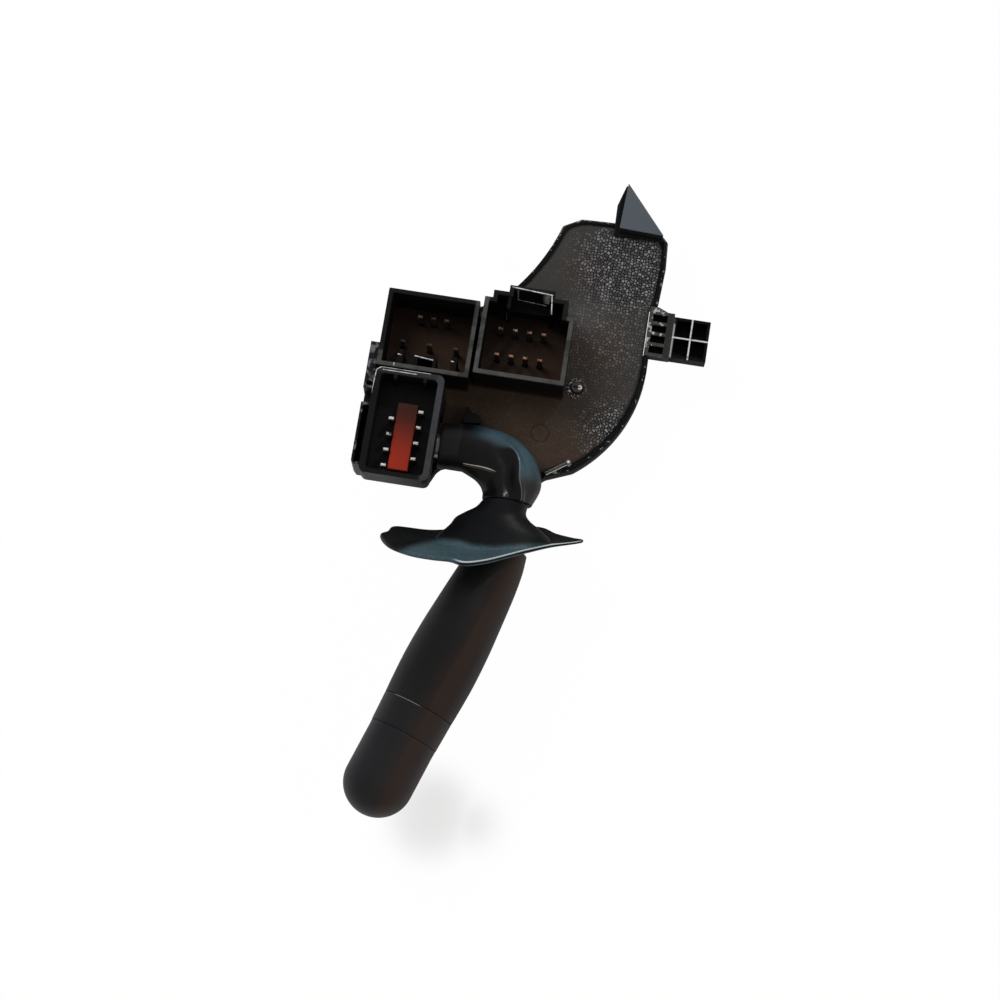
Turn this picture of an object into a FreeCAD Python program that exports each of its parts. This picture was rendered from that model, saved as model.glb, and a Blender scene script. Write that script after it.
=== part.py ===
"""Combination stalk switch of a steering column, in millimetres.

The switch lies on the flat face that bolts to the column, so +Z points out of that face, towards the
harness sockets. The origin is where the axis of the turn pivot meets the mounting face. +Y runs up the
housing, away from the handle, and +X runs along the sockets.
"""
import FreeCAD, Part
import math
import os

V = FreeCAD.Vector
UP = V(0, 0, 1)

# Housing levels above the mounting face
cover_t = 2.5  # front cover
plate_top = 17.0  # back face of the main housing
plate_t = 2.0
skirt_z0 = 11.0  # lower edge of the overhanging rim
skirt_wall = 2.0
relief_x0, relief_x1 = 27.0, 39.5  # bevel of the plate's lower edge under the neck
relief_depth, relief_width = 1.3, 4.6
case_inset = 2.6  # how far the case stands in under the rim
case_wall = 1.6
shelf_t = 2.0

# Outline of the plate, anticlockwise from the lower left corner
foot_y = -4.4
foot = [(-13.6, -10.0), (5.6, -10.0), (7.6, -5.6), (9.4, -3.8), (18.0, -3.8), (24.0, foot_y), (38.8, foot_y),
        (40.7, -2.7)]
arc_start = (48.6, 0.6)
arc_mid = (62.0, 17.0)
arc_end = (66.3, 35.0)
flank = [(66.1, 50.0), (67.0, 59.0), (67.5, 68.5), (67.0, 77.0), (64.3, 79.7), (49.6, 81.0), (39.5, 80.6)]
column_start = (33.9, 77.5)  # hollow edge that clears the steering column
column_mid = (28.9, 65.2)
column_end = (21.5, 54.2)
head = [(15.5, 49.5), (13.5, 47.9), (10.0, 46.6), (-12.6, 46.5), (-13.6, 30.0)]

# Harness sockets
socket_wall = 1.4
socket_floor_t = 1.2
socket_rim = 33.0
left_x0, left_x1, left_y0, left_y1 = -14.3, 13.5, 19.8, 44.1
mid_x0, mid_x1, mid_y0, mid_y1 = 14.6, 42.2, 21.8, 48.4
corner_cut_x, corner_cut_y = 2.4, 5.0  # polarising step in the corner of the middle socket
latch_x0, latch_x1, latch_y = 21.6, 35.4, 50.6  # raised bay for the plug's latch
latch_depth = 9.0
key_rib_x = (-8.6, 7.6)
key_rib_w, key_rib_y, key_rib_drop = 1.8, 5.0, 2.0
ramp_x0, ramp_x1, ramp_y, ramp_t = -3.6, 3.2, 4.2, 1.2
lower_x0, lower_x1, lower_y0, lower_y1 = -13.3, 7.4, -15.4, 17.0
lower_rim = 41.0
lower_floor_top = 32.5
lower_floor_t = 1.3
lower_wall = 1.8
lower_corner = 2.0

# Contact pins
pin_w, pin_t = 1.5, 0.8
pin_tip = 26.0
mid_pins_x0, mid_pins_y, mid_pitch, mid_row_gap = 20.5, 30.6, 4.4, 8.2
left_pins_x0, left_pins_y, left_pitch, left_row_gap = -0.1, 30.2, 4.1, 8.4
lower_pin_tip = 37.5
lower_pin_x = (-6.6, 1.8)
lower_pin_y = (-11.5, -8.4)  # first pin of each column
lower_pitch = 4.8
pin_hole_gap = 0.1

# Secondary lock between the lower pins
retainer_x0, retainer_x1, retainer_y0, retainer_y1, retainer_h = -5.4, 0.7, -12.2, 8.3, 3.6

# Turret under the lower socket
turret_x0, turret_x1, turret_y0, turret_y1 = -13.3, 7.3, -9.8, 15.6
turret_wall = 1.6
window_y = 9.0
opening_y = 8.2
upper_board_t = 1.2
rail_spans = [(12.6, 27.2, 3.8), (-11.2, 8.2, 3.6)]  # y from, y to, reach of each channel rail
rail_corner = [(-19.0, -12.5), (-14.5, -12.5), (-19.0, -8.0)]
rail_wall, rail_floor = 0.9, 4.0
rail_link = 8.0  # height of the low web between the rails

# Turn pivot and carrier
swing = 10.0  # degrees each way
pin_r = 2.0
running_gap = 0.05
hub_r = 4.2
block_x0, block_x1, block_y = -8.0, 4.2, 5.8
lever_z = 23.5
journal_r = 3.7
block_top = lever_z + journal_r + 2.0
peg_y, peg_r = 14.0, 1.5
arm_w = 6.0
arm_z0, arm_z1 = 10.5, 14.5
detent_angle = 40.0
plunger_r = 1.5
plunger_z = 7.6
plunger_back = 6.4
pocket_r = 3.4
detent_arm_w = 5.6
detent_arm_end = 8.8
cam_r0, cam_r1, cam_half = 10.5, 13.6, 16.5
cam_top = 10.2
cam_notch, notch_r = 0.7, 1.0

# Board, slider and contacts inside the housing
board_z0, board_t = 3.5, 1.5
board_x0, board_x1, board_y0, board_y1 = -8.3, 38.0, 19.8, 41.2
tongue_x1, tongue_y0 = 6.8, 11.6
contact_t = 0.3
slider_x0, slider_x1, slider_w, slider_h = -6.5, 5.5, 4.6, 2.6
slider_lift = 0.8

# Dimmer crank and slider
crank_x0, crank_x1 = -10.3, -8.2
crank_len = 6.0
crank_tip_r = 1.2
shaft_end = -11.0

# Handle
lean = 18.7  # degrees that the handle leans from -Y
handle_x, handle_y = 28.0, -39.7  # where the handle's s = 0 lies
sleeve_s0 = -13.0
sleeve_s1 = 41.6
ring_s1 = 50.6
knob_s1 = 76.4
seam = 0.3
grip_r1, grip_r2 = 10.5, 11.35
sleeve_profile = [(7.3, sleeve_s0), (8.5, -8.2), (9.35, -2.5), (9.9, 3.0), (grip_r1, 10.5), (11.1, 19.0),
                  (grip_r2, 29.0), (11.05, 38.0), (10.85, sleeve_s1)]
sleeve_bore_r, sleeve_step = 7.6, 1.0
barrel_r, barrel_wall = 8.6, 1.8
barrel_r0 = barrel_r - barrel_wall
ring_wall, knob_wall = 2.2, 1.8
ring_r = barrel_r + ring_wall
knob_r = barrel_r + knob_wall
edge_round = 0.3
tube_s1 = 6.0
barrel_s0, barrel_s1 = 30.0, 57.0
bush_start, bush_len = 1.0, 12.0
rotor_plate_t, rotor_gap = 1.2, 0.3
ball_r = 1.2
ball_x = barrel_r - 3.4
bend_r1, bend_r2 = 13.0, 12.0
neck_x = 30.6  # where the shaft would cross the turn axis after its bend
shield_bend_y = -32.0
neck_wall = 1.3

# Shield
shield_x, shield_y = 27.8, -27.8
shield_turn = 7.3
shield_tilt = 30.0
shield_t = 1.4
shield_dish = 250.0
neck_end_gap = 0.5
spigot_r = 4.7
# Stations of the flare between the neck and the shield: x, y, half width, half height
flare_stations = [
    (30.2, -14.5, 6.8, 6.4),
    (29.3, -17.0, 7.7, 6.5),
    (28.7, -19.0, 10.0, 6.6),
    (29.1, -21.0, 12.9, 6.9),
    (30.0, -23.5, 15.2, 7.3),
    (29.5, -27.5, 18.0, 7.8),
    (29.0, -33.0, 21.0, 8.5),
]
socket_r = 6.0  # tube of the shield that the sleeve slides over


def polygon_face(points):
    corners = [V(x, y, 0) for x, y in points]
    return Part.Face(Part.makePolygon(corners + corners[:1]))


def prism(face, z0, z1):
    solid = face.extrude(V(0, 0, z1 - z0))
    solid.translate(V(0, 0, z0))
    return solid


def box(x0, x1, y0, y1, z0, z1):
    return Part.makeBox(x1 - x0, y1 - y0, z1 - z0, V(x0, y0, z0))


def post(x, y, z0, z1, r):
    return Part.makeCylinder(r, z1 - z0, V(x, y, z0))


def rounded_face(x0, x1, y0, y1, r):
    """Rectangle with round corners."""
    c = math.sqrt(0.5) * r
    arcs = []
    corners = [(x1 - r, y0 + r, 1, -1), (x1 - r, y1 - r, 1, 1), (x0 + r, y1 - r, -1, 1), (x0 + r, y0 + r, -1, -1)]
    ends = []
    for cx, cy, sx, sy in corners:
        side = V(cx + sx * r, cy, 0)
        end = V(cx, cy + sy * r, 0)
        first, last = (end, side) if sx * sy < 0 else (side, end)
        arcs.append(Part.Arc(first, V(cx + sx * c, cy + sy * c, 0), last).toShape())
        ends.append((first, last))
    edges = []
    for i in range(4):
        edges.append(arcs[i])
        edges.append(Part.makeLine(ends[i][1], ends[(i + 1) % 4][0]))
    return Part.Face(Part.Wire(edges))


def cut_all(shape, tools):
    return shape.cut(Part.makeCompound(tools)) if tools else shape


def fuse_all(shapes):
    return shapes[0].multiFuse(shapes[1:]).removeSplitter()


def turned(shape, angle):
    """Turns a shape about the turn pivot."""
    copy = shape.copy()
    copy.rotate(V(0, 0, 0), UP, angle)
    return copy


def coil(r, wire_r, length, turns):
    """Compression spring along +Z with its first coil on z = 0."""
    helix = Part.makeHelix((length - 2 * wire_r) / turns, length - 2 * wire_r, r)
    ring = Part.Wire(Part.makeCircle(wire_r, V(r, 0, 0), V(0, 1, 0)))
    spring = Part.Wire(helix.Edges).makePipeShell([ring], True, True)
    spring.translate(V(0, 0, wire_r))
    return spring


def outline():
    def line(points):
        return [Part.makeLine(V(*a, 0), V(*b, 0)) for a, b in zip(points, points[1:])]

    edges = line(foot + [arc_start])
    edges.append(Part.Arc(V(*arc_start, 0), V(*arc_mid, 0), V(*arc_end, 0)).toShape())
    edges += line([arc_end] + flank + [column_start])
    edges.append(Part.Arc(V(*column_start, 0), V(*column_mid, 0), V(*column_end, 0)).toShape())
    edges += line([column_end] + head + [foot[0]])
    return Part.Face(Part.Wire(edges))


def inset(face, distance):
    return face.makeOffset2D(-distance)


plate_face = outline()
case_face = inset(plate_face, case_inset)
room_face = inset(plate_face, case_inset + case_wall)
room_top = plate_top - plate_t
turret_top = lower_floor_top - lower_floor_t - upper_board_t
socket_floor_top = plate_top + socket_floor_t
board_top = board_z0 + board_t

# Screws that hold the cover, each in a boss under the plate
screw_places = [(57.0, 66.5), (56.0, 24.0), (33.0, 3.5), (-4.6, 23.6)]
screw_r, screw_head_r, screw_head_t, screw_len = 1.2, 2.6, 1.6, 9.0
boss_r = 3.0

# Posts between the cover and the plate, with holes for the screws of the column bracket
bracket_places = [(57.5, 46.0), (45.5, 68.0), (46.0, 14.0)]
bracket_hole_r, bracket_wall, bracket_depth = 2.1, 1.7, 9.0
bracket_post_r = bracket_hole_r + bracket_wall

# Boss with a screw on the back of the plate, and the plugged gate mark below it
stop_h = 2.6
stop_edge = [(13.4, 9.4), (18.7, 10.0), (18.7, 11.2), (17.8, 12.4), (16.4, 12.9), (15.1, 12.8), (14.1, 15.1), (13.9, 12.3),
             (13.2, 10.9)]
limit_from, limit_to = (40.6, -2.0), (46.9, 2.4)
limit_r, limit_lift, limit_head_r, limit_head_h = 0.5, 0.6, 0.9, 1.3
boss_x, boss_y, back_boss_r, back_boss_h = 46.0, 26.0, 3.0, 0.8
back_screw_r, back_head_r, back_head_t = 1.25, 1.6, 1.3
gate_x, gate_y, gate_r = 37.0, 10.5, 2.8

# Cancel pawl by the hollow edge
pawl_x, pawl_y, pawl_angle = 38.6, 56.6, 150.0
pawl_len, pawl_w, pawl_hub_r = 11.5, 4.0, 3.4
pawl_z0, pawl_z1 = 5.4, 9.4
pawl_pin_r = 1.25
pawl_swing = 12.0

# Fin on the top edge
fin = [(51.4, 77.6), (52.1, 92.4), (65.2, 77.1)]
fin_foot_edge = [(49.9, 76.3), (49.7, 86.0), (51.7, 92.9), (53.0, 92.4), (66.0, 76.5)]
fin_top = 22.0
fin_foot_t = 1.4

# Clip and block on the right edge
clip_x0, clip_x1 = 64.6, 72.4
clip_y0, clip_y1 = 39.9, 54.4
clip_gusset = 1.3  # rise of the wedge over the upper rib
clip_z0, clip_z1 = 13.0, 17.0
clip_rib, clip_ribs, clip_spine = 1.0, 5, 2.1
clip_gap = 0.4
block_end = 83.6
block_y0, block_y1 = 40.4, 53.4
block_z0 = 12.0
block_wall, block_cell_depth = 0.9, 4.0


def main_housing():
    body = prism(plate_face, skirt_z0, plate_top).fuse(prism(case_face, cover_t, skirt_z0))
    body = body.cut(prism(room_face, cover_t - 1, room_top))
    body = body.cut(prism(inset(plate_face, skirt_wall), skirt_z0 + shelf_t, room_top))
    bosses = [post(x, y, cover_t, room_top, boss_r) for x, y in screw_places]
    bosses.append(post(boss_x, boss_y, plate_top, plate_top + back_boss_h, back_boss_r))
    bosses.append(post(boss_x, boss_y, plate_top - 6.0, room_top, back_boss_r))
    body = body.multiFuse(bosses)
    cuts = [box(turret_x0 + turret_wall, turret_x1 - turret_wall, turret_y0 + turret_wall, opening_y,
                skirt_z0 + shelf_t, plate_top + 1)]
    cuts += [post(x, y, cover_t - 1, cover_t + screw_len, screw_r) for x, y in screw_places]
    cuts.append(post(boss_x, boss_y, plate_top - 5.0, plate_top + 2, back_screw_r))
    groove = post(gate_x, gate_y, plate_top - 0.3, plate_top + 1, gate_r)
    cuts.append(groove.cut(post(gate_x, gate_y, plate_top - 1, plate_top + 2, gate_r - 0.35)))
    cuts += [pin_hole(x, y, room_top - 1, plate_top + 1) for x, y in left_places() + mid_places()]
    cuts.append(pawl_window())
    cuts.append(box(clip_x0 - 0.2, clip_x1, clip_y0 - clip_gap, clip_y1 + clip_gusset + clip_gap, clip_z0 - clip_gap,
                    plate_top + 1))
    cuts.append(neck_relief())
    return cut_all(body, cuts).removeSplitter()


def neck_relief():
    """Wedge taken off the plate's lower edge, so that the neck clears it at its lowest place."""
    x, y, z = relief_x0, foot_y, plate_top
    corners = [V(x, y - 1, z - relief_depth), V(x, y, z - relief_depth), V(x, y + relief_width, z),
               V(x, y + relief_width, z + 1), V(x, y - 1, z + 1)]
    face = Part.Face(Part.makePolygon(corners + corners[:1]))
    return face.extrude(V(relief_x1 - relief_x0, 0, 0))


def bracket_posts():
    posts = []
    for x, y in bracket_places:
        hole = post(x, y, cover_t - 1, cover_t + bracket_depth, bracket_hole_r)
        posts.append(post(x, y, cover_t, room_top, bracket_post_r).cut(hole))
    return Part.makeCompound(posts)


def front_cover():
    cover = prism(case_face, 0, cover_t)
    seats = [board_seat(x, y) for x, y in board_seat_places()]
    seats.append(post(0, 0, cover_t, cover_t + 0.6, hub_r - 0.4))
    seats.append(post(pawl_x, pawl_y, cover_t, pawl_z0 - 0.1, 2.6))
    cover = cover.multiFuse(seats)
    cuts = [post(x, y, -1, cover_t + 1, screw_r + 0.25) for x, y in screw_places]
    cuts += [post(x, y, -1, screw_head_t + 0.3, screw_head_r + 0.25) for x, y in screw_places]
    cuts += [post(x, y, -1, cover_t + 1, bracket_hole_r) for x, y in bracket_places]
    cuts.append(post(0, 0, 1.0, cover_t + 2, pin_r))
    cuts.append(post(pawl_x, pawl_y, 1.0, pawl_z0 + 1, pawl_pin_r))
    return cut_all(cover, cuts).removeSplitter()


def board_seat_places():
    return [(-6.5, 17.5), (-6.0, 39.5), (17.0, 22.0), (36.0, 23.0), (34.0, 39.5)]


def board_seat(x, y):
    return post(x, y, cover_t, board_z0, 1.5)


def cover_screws():
    screws = []
    for x, y in screw_places:
        head = post(x, y, 0.3, 0.3 + screw_head_t, screw_head_r)
        head = head.cut(box(x - 1.4, x + 1.4, y - 0.3, y + 0.3, 0, 1.0))
        head = head.cut(box(x - 0.3, x + 0.3, y - 1.4, y + 1.4, 0, 1.0))
        screws.append(head.fuse(post(x, y, 0.3 + screw_head_t, cover_t + screw_len - 1, screw_r)))
    return Part.makeCompound(screws)


def left_places():
    row = [(left_pins_x0 + i * left_pitch, left_pins_y + left_row_gap) for i in (-1, 0, 1)]
    return row + [(left_pins_x0 + i * left_pitch, left_pins_y) for i in (-2, 0, 2)]


def mid_places():
    return [(mid_pins_x0 + i * mid_pitch, mid_pins_y + j * mid_row_gap) for j in (0, 1) for i in range(4)]


def lower_places():
    return [(x, y + i * lower_pitch) for x, y in zip(lower_pin_x, lower_pin_y) for i in range(4)]


def pin_hole(x, y, z0, z1):
    w = pin_w / 2 + pin_hole_gap
    t = pin_t / 2 + pin_hole_gap
    return box(x - w, x + w, y - t, y + t, z0, z1)


def pins(places, z0, tip):
    """Flat tabs with a chamfered tip."""
    group = []
    for x, y in places:
        tab = box(x - pin_w / 2, x + pin_w / 2, y - pin_t / 2, y + pin_t / 2, z0, tip)
        top = [e for e in tab.Edges if abs(e.BoundBox.ZMin - tip) < 1e-6 and abs(e.BoundBox.ZMax - tip) < 1e-6]
        group.append(tab.makeChamfer(0.25, top))
    return Part.makeCompound(group)


def left_socket():
    body = box(left_x0, left_x1, left_y0, left_y1, plate_top, socket_rim)
    x0, x1 = left_x0 + socket_wall, left_x1 - socket_wall
    y0, y1 = left_y0 + socket_wall, left_y1 - socket_wall
    body = body.cut(box(x0, x1, y0, y1, socket_floor_top, socket_rim + 1))
    ribs = [box(x, x + key_rib_w, y0 - 0.1, y0 + key_rib_y, socket_floor_top, socket_rim - key_rib_drop)
            for x in key_rib_x]
    ribs.append(box(ramp_x0, ramp_x1, y0 + ramp_y - ramp_t, y0 + ramp_y, socket_floor_top, socket_rim - 3.0))
    for x in (ramp_x0, ramp_x1 - ramp_t):
        ribs.append(box(x, x + ramp_t, y0 - 0.1, y0 + ramp_y, socket_floor_top, socket_rim - 3.0))
    body = body.multiFuse(ribs)
    return cut_all(body, [pin_hole(x, y, plate_top - 1, socket_floor_top + 1) for x, y in left_places()])


def mid_outline(offset):
    x0, x1, y0, y1 = mid_x0 + offset, mid_x1 - offset, mid_y0 + offset, mid_y1 - offset
    a, b = latch_x0 + offset, latch_x1 - offset
    cx, cy = x1 - corner_cut_x, y1 - corner_cut_y
    return polygon_face([(x0, y0), (x1, y0), (x1, cy), (cx, cy), (cx, y1), (b, y1), (b, latch_y - offset),
                         (a, latch_y - offset), (a, y1), (x0 + 2.4, y1), (x0 + 2.4, y1 - 2.4), (x0, y1 - 2.4)])


def mid_socket():
    body = prism(mid_outline(0), plate_top, socket_rim)
    body = body.cut(prism(mid_outline(socket_wall), socket_floor_top, socket_rim + 1))
    shelf = box(latch_x0 + 1, latch_x1 - 1, mid_y1 - 3.2, latch_y - 1, socket_floor_top, socket_rim - latch_depth)
    ribs = [shelf]
    for x in (latch_x0, latch_x1 - 1.0):
        ribs.append(box(x, x + 1.0, mid_y1 - 5.2, mid_y1 - 1.0, socket_floor_top, socket_rim - 0.6))
    body = body.multiFuse(ribs)
    return cut_all(body, [pin_hole(x, y, plate_top - 1, socket_floor_top + 1) for x, y in mid_places()])


def lower_socket():
    z0 = lower_floor_top - lower_floor_t
    body = prism(rounded_face(lower_x0, lower_x1, lower_y0, lower_y1, lower_corner), z0, lower_rim)
    w = lower_wall
    inner = rounded_face(lower_x0 + w, lower_x1 - w, lower_y0 + w - 0.4, lower_y1 - w, lower_corner - 0.8)
    body = body.cut(prism(inner, lower_floor_top, lower_rim + 1))
    notches = [box(-7.6, -6.6, lower_y1 - w - 1.2, lower_y1 - w + 0.1, lower_floor_top, lower_rim),
               box(1.2, 2.2, lower_y1 - w - 1.2, lower_y1 - w + 0.1, lower_floor_top, lower_rim)]
    body = body.multiFuse(notches)
    return cut_all(body, [pin_hole(x, y, z0 - 1, lower_floor_top + 1) for x, y in lower_places()])


def turret_case():
    outer = box(turret_x0, turret_x1, turret_y0, turret_y1, plate_top, turret_top + upper_board_t)
    w = turret_wall
    inner = box(turret_x0 + w, turret_x1 - w, turret_y0 + w, turret_y1 - w, plate_top - 1, turret_top + 2)
    body = outer.cut(inner)
    ledges = [box(turret_x0 + 1, turret_x1 - 1, turret_y1 - w - 3.0, turret_y1 - w + 0.5, turret_top - 1.5, turret_top),
              box(turret_x0 + 1, turret_x0 + w + 0.6, turret_y0 + 1, turret_y0 + 3.4, turret_top - 1.5, turret_top)]
    body = body.multiFuse(ledges)
    window = box(turret_x1 - w - 0.3, turret_x1 + 1, turret_y0 - 1, window_y, plate_top - 1, turret_top + 2)
    return body.cut(window)


def side_rails():
    """Two channel rails on the left of the turret, for the harness bracket, joined by a low web."""
    rails = []
    for y0, y1, reach in rail_spans:
        x1 = turret_x0
        x0 = x1 - reach
        y_in = min(y1, turret_y1)
        body = box(x0, x1, y0, y_in, plate_top, lower_floor_top - lower_floor_t)
        if y1 > turret_y1:
            body = body.fuse(box(x0, left_x0, y0, y1, plate_top, lower_floor_top - lower_floor_t))
        w = rail_wall
        body = body.cut(box(x0 + w, x1 - w, y0 + w, y_in - w, plate_top + rail_floor, lower_rim))
        rails.append(body)
    (upper_y, _, _), (_, lower_y, reach) = rail_spans
    link = box(turret_x0 - reach, turret_x0, lower_y - rail_wall, upper_y + rail_wall, plate_top, plate_top + rail_link)
    corner = polygon_face(rail_corner)
    return fuse_all(rails + [link]).cut(prism(corner, plate_top - 1, lower_rim))


def red_retainer():
    body = box(retainer_x0, retainer_x1, retainer_y0, retainer_y1, lower_floor_top, lower_floor_top + retainer_h)
    top = [e for e in body.Edges if abs(e.BoundBox.ZMin - lower_floor_top - retainer_h) < 1e-6]
    return body.makeFillet(0.4, top)


def guide_fin():
    return prism(polygon_face(fin), plate_top + fin_foot_t, fin_top)


def fin_foot():
    """Foot that carries the fin on the edge of the plate."""
    return prism(polygon_face(fin_foot_edge), plate_top, plate_top + fin_foot_t)


def terminal_board():
    body = box(board_x0, board_x1, board_y0, board_y1, board_z0, board_top)
    tongue = box(board_x0, tongue_x1, tongue_y0, board_y0 + 1, board_z0, board_top)
    body = body.fuse(tongue)
    cuts = [post(x, y, 0, 9, boss_r + 0.3) for x, y in screw_places]
    return cut_all(body, cuts).removeSplitter()


def upper_board():
    w = turret_wall
    x0, x1 = turret_x0 + w + 0.2, turret_x1 - w - 0.6
    return box(x0, x1, turret_y0 + w + 0.2, turret_y1 - w - 0.2, turret_top, turret_top + upper_board_t)


def fixed_contacts():
    strips = [box(x, x + 2.6, 12.6, 15.4, board_top, board_top + contact_t) for x in (-7.6, -1.3, 3.6)]
    return Part.makeCompound(strips)


def slider_guide():
    walls = []
    for y in (peg_y - slider_w / 2 - 0.7, peg_y + slider_w / 2 + 0.1):
        walls.append(box(slider_x0 - 2.0, slider_x1 + 1.0, y, y + 0.6, board_top, board_top + 3.0))
    return Part.makeCompound(walls)


def detent_cam_block():
    ring = post(0, 0, cover_t, cam_top, cam_r1).cut(post(0, 0, cover_t - 1, 14, cam_r0))
    a0, a1 = detent_angle - cam_half, detent_angle + cam_half
    far = 40.0
    sector = polygon_face([(0, 0), (far * math.cos(math.radians(a0)), far * math.sin(math.radians(a0))),
                           (far * math.cos(math.radians(a1)), far * math.sin(math.radians(a1)))])
    return ring.common(prism(sector, 0, 20))


def detent_cam():
    notches = []
    for angle in (detent_angle - swing, detent_angle, detent_angle + swing):
        r = cam_r0 + cam_notch - notch_r
        x, y = r * math.cos(math.radians(angle)), r * math.sin(math.radians(angle))
        notches.append(post(x, y, cover_t - 1, 14, notch_r))
    return cut_all(detent_cam_block(), notches)


def pivot_pin():
    return post(0, 0, 1.0, 16.5, pin_r)


def pawl_pin():
    return post(pawl_x, pawl_y, 1.0, 13.0, pawl_pin_r)


def pawl_shape(grow):
    a = math.radians(pawl_angle)
    dx, dy = math.cos(a), math.sin(a)
    nx, ny = -dy, dx
    w = pawl_w / 2 + grow
    r = pawl_hub_r + grow
    length = pawl_len + grow
    tip = w * 0.5
    corners = [(pawl_x + nx * w, pawl_y + ny * w), (pawl_x + dx * length + nx * tip, pawl_y + dy * length + ny * tip),
               (pawl_x + dx * length - nx * tip, pawl_y + dy * length - ny * tip), (pawl_x - nx * w, pawl_y - ny * w)]
    nose = prism(polygon_face(corners), pawl_z0 - grow, pawl_z1 + grow)
    return nose.fuse(post(pawl_x, pawl_y, pawl_z0 - grow, pawl_z1 + grow, r))


def pawl_window():
    """Slot in the case wall that the pawl's nose swings in."""
    swept = [pawl_shape(0.5)]
    for turn in (-pawl_swing, pawl_swing):
        copy = pawl_shape(0.5)
        copy.rotate(V(pawl_x, pawl_y, 0), UP, turn)
        swept.append(copy)
    return swept[0].multiFuse(swept[1:])


def cancel_pawl():
    return pawl_shape(0).cut(post(pawl_x, pawl_y, 0, 20, pawl_pin_r + running_gap))


def pawl_spring():
    spring = coil(2.2, 0.3, 3.2, 4)
    spring.translate(V(pawl_x, pawl_y, pawl_z1 + 0.1))
    return spring


def boss_screw():
    head = post(boss_x, boss_y, plate_top + back_boss_h, plate_top + back_boss_h + back_head_t, back_head_r)
    head = head.cut(box(boss_x - 1.1, boss_x + 1.1, boss_y - 0.25, boss_y + 0.25, plate_top + back_boss_h + 0.6, 30))
    return head.fuse(post(boss_x, boss_y, plate_top - 4.0, plate_top + back_boss_h, back_screw_r))


def limit_pin():
    """Steel pin laid in the lower edge of the plate, which stops the neck."""
    a, b = V(*limit_from, plate_top + limit_lift), V(*limit_to, plate_top + limit_lift)
    d = b - a
    body = Part.makeCylinder(limit_r, d.Length, a, d)
    return body.fuse(post(b.x, b.y, plate_top, plate_top + limit_head_h, limit_head_r))


def stop_post():
    """Small hooked post beside the neck."""
    return prism(polygon_face(stop_edge), plate_top, plate_top + stop_h)


def turn_carrier():
    block = box(block_x0, block_x1, -block_y, block_y, 13.4, block_top)
    hub = post(0, 0, cover_t + 0.7, 14.0, hub_r)
    arm = box(-arm_w / 2, arm_w / 2, 0, peg_y + 2.8, arm_z0, arm_z1)
    peg = post(0, peg_y, board_top + slider_lift + 0.4, arm_z0 + 1, peg_r)
    detent_arm = box(0, detent_arm_end, -detent_arm_w / 2, detent_arm_w / 2, plunger_z - 2.6, plunger_z + 3.4)
    detent_arm = turned(detent_arm, detent_angle)
    body = block.multiFuse([hub, arm, peg, detent_arm])
    bore = Part.makeCylinder(journal_r + running_gap, 40, V(-20, 0, lever_z), V(1, 0, 0))
    pocket = turned(Part.makeCylinder(plunger_r + running_gap, 9, V(pocket_r, 0, plunger_z), V(1, 0, 0)), detent_angle)
    groove = box(block_x0 - 1, block_x0 + 1.1, -20, 20, 14.9, 16.6)
    pin_bore = post(0, 0, 0, 16.8, pin_r + running_gap)
    return cut_all(body, [bore, pocket, groove, pin_bore]).removeSplitter()


def detent_plunger():
    tip = cam_r0 - 0.25
    stem = Part.makeCylinder(plunger_r, tip - plunger_r - plunger_back, V(plunger_back, 0, plunger_z), V(1, 0, 0))
    ball = Part.makeSphere(plunger_r, V(tip - plunger_r, 0, plunger_z))
    return turned(stem.fuse(ball), detent_angle)


def detent_spring():
    spring = coil(1.05, 0.2, plunger_back - pocket_r - 0.05, 4)
    spring.rotate(V(0, 0, 0), V(0, 1, 0), 90)
    spring.translate(V(pocket_r + 0.02, 0, plunger_z))
    return turned(spring, detent_angle)


def dimmer_slider():
    tip_z = lever_z - crank_len
    body = box(crank_x0 - 0.3, block_x0 - 0.2, -4.0, 4.0, 13.6, tip_z + 0.5)
    body = body.fuse(box(block_x0 - 0.3, block_x0 + 1.0, -4.0, 4.0, 15.0, 16.5))
    half = crank_tip_r + running_gap
    return body.cut(box(-30, block_x0 - 0.1, -half, half, tip_z - crank_tip_r - 0.4, 30))


def turn_slider():
    z0 = board_top + contact_t + slider_lift
    body = box(slider_x0, slider_x1, peg_y - slider_w / 2, peg_y + slider_w / 2, z0 - 0.5, z0 - 0.5 + slider_h)
    slot = box(-peg_r - running_gap, peg_r + running_gap, peg_y - 2.0, peg_y + 3.0, z0 - 0.1, 30)
    return body.cut(slot)


def moving_contact():
    z1 = board_top + contact_t + slider_lift - 0.5
    return box(slider_x0 + 0.8, slider_x1 - 0.8, peg_y - 1.2, peg_y + 1.2, z1 - 0.28, z1)


def handle_direction():
    a = math.radians(lean)
    return V(-math.sin(a), -math.cos(a), 0)


def on_handle(s):
    return V(handle_x, handle_y, lever_z) + handle_direction() * s


def placed_on_handle(shape):
    """Carries a shape from its own +Z axis onto the handle's axis."""
    copy = shape.copy()
    copy.Placement = FreeCAD.Placement(on_handle(0), FreeCAD.Rotation(UP, handle_direction()))
    return copy


def revolved(points, curve=None):
    """Solid of revolution on the handle from (radius, distance) points."""
    corners = [V(r, 0, s) for r, s in points]
    face = Part.Face(Part.makePolygon(corners + corners[:1]))
    return placed_on_handle(face.revolve(V(0, 0, 0), UP, 360))


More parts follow.
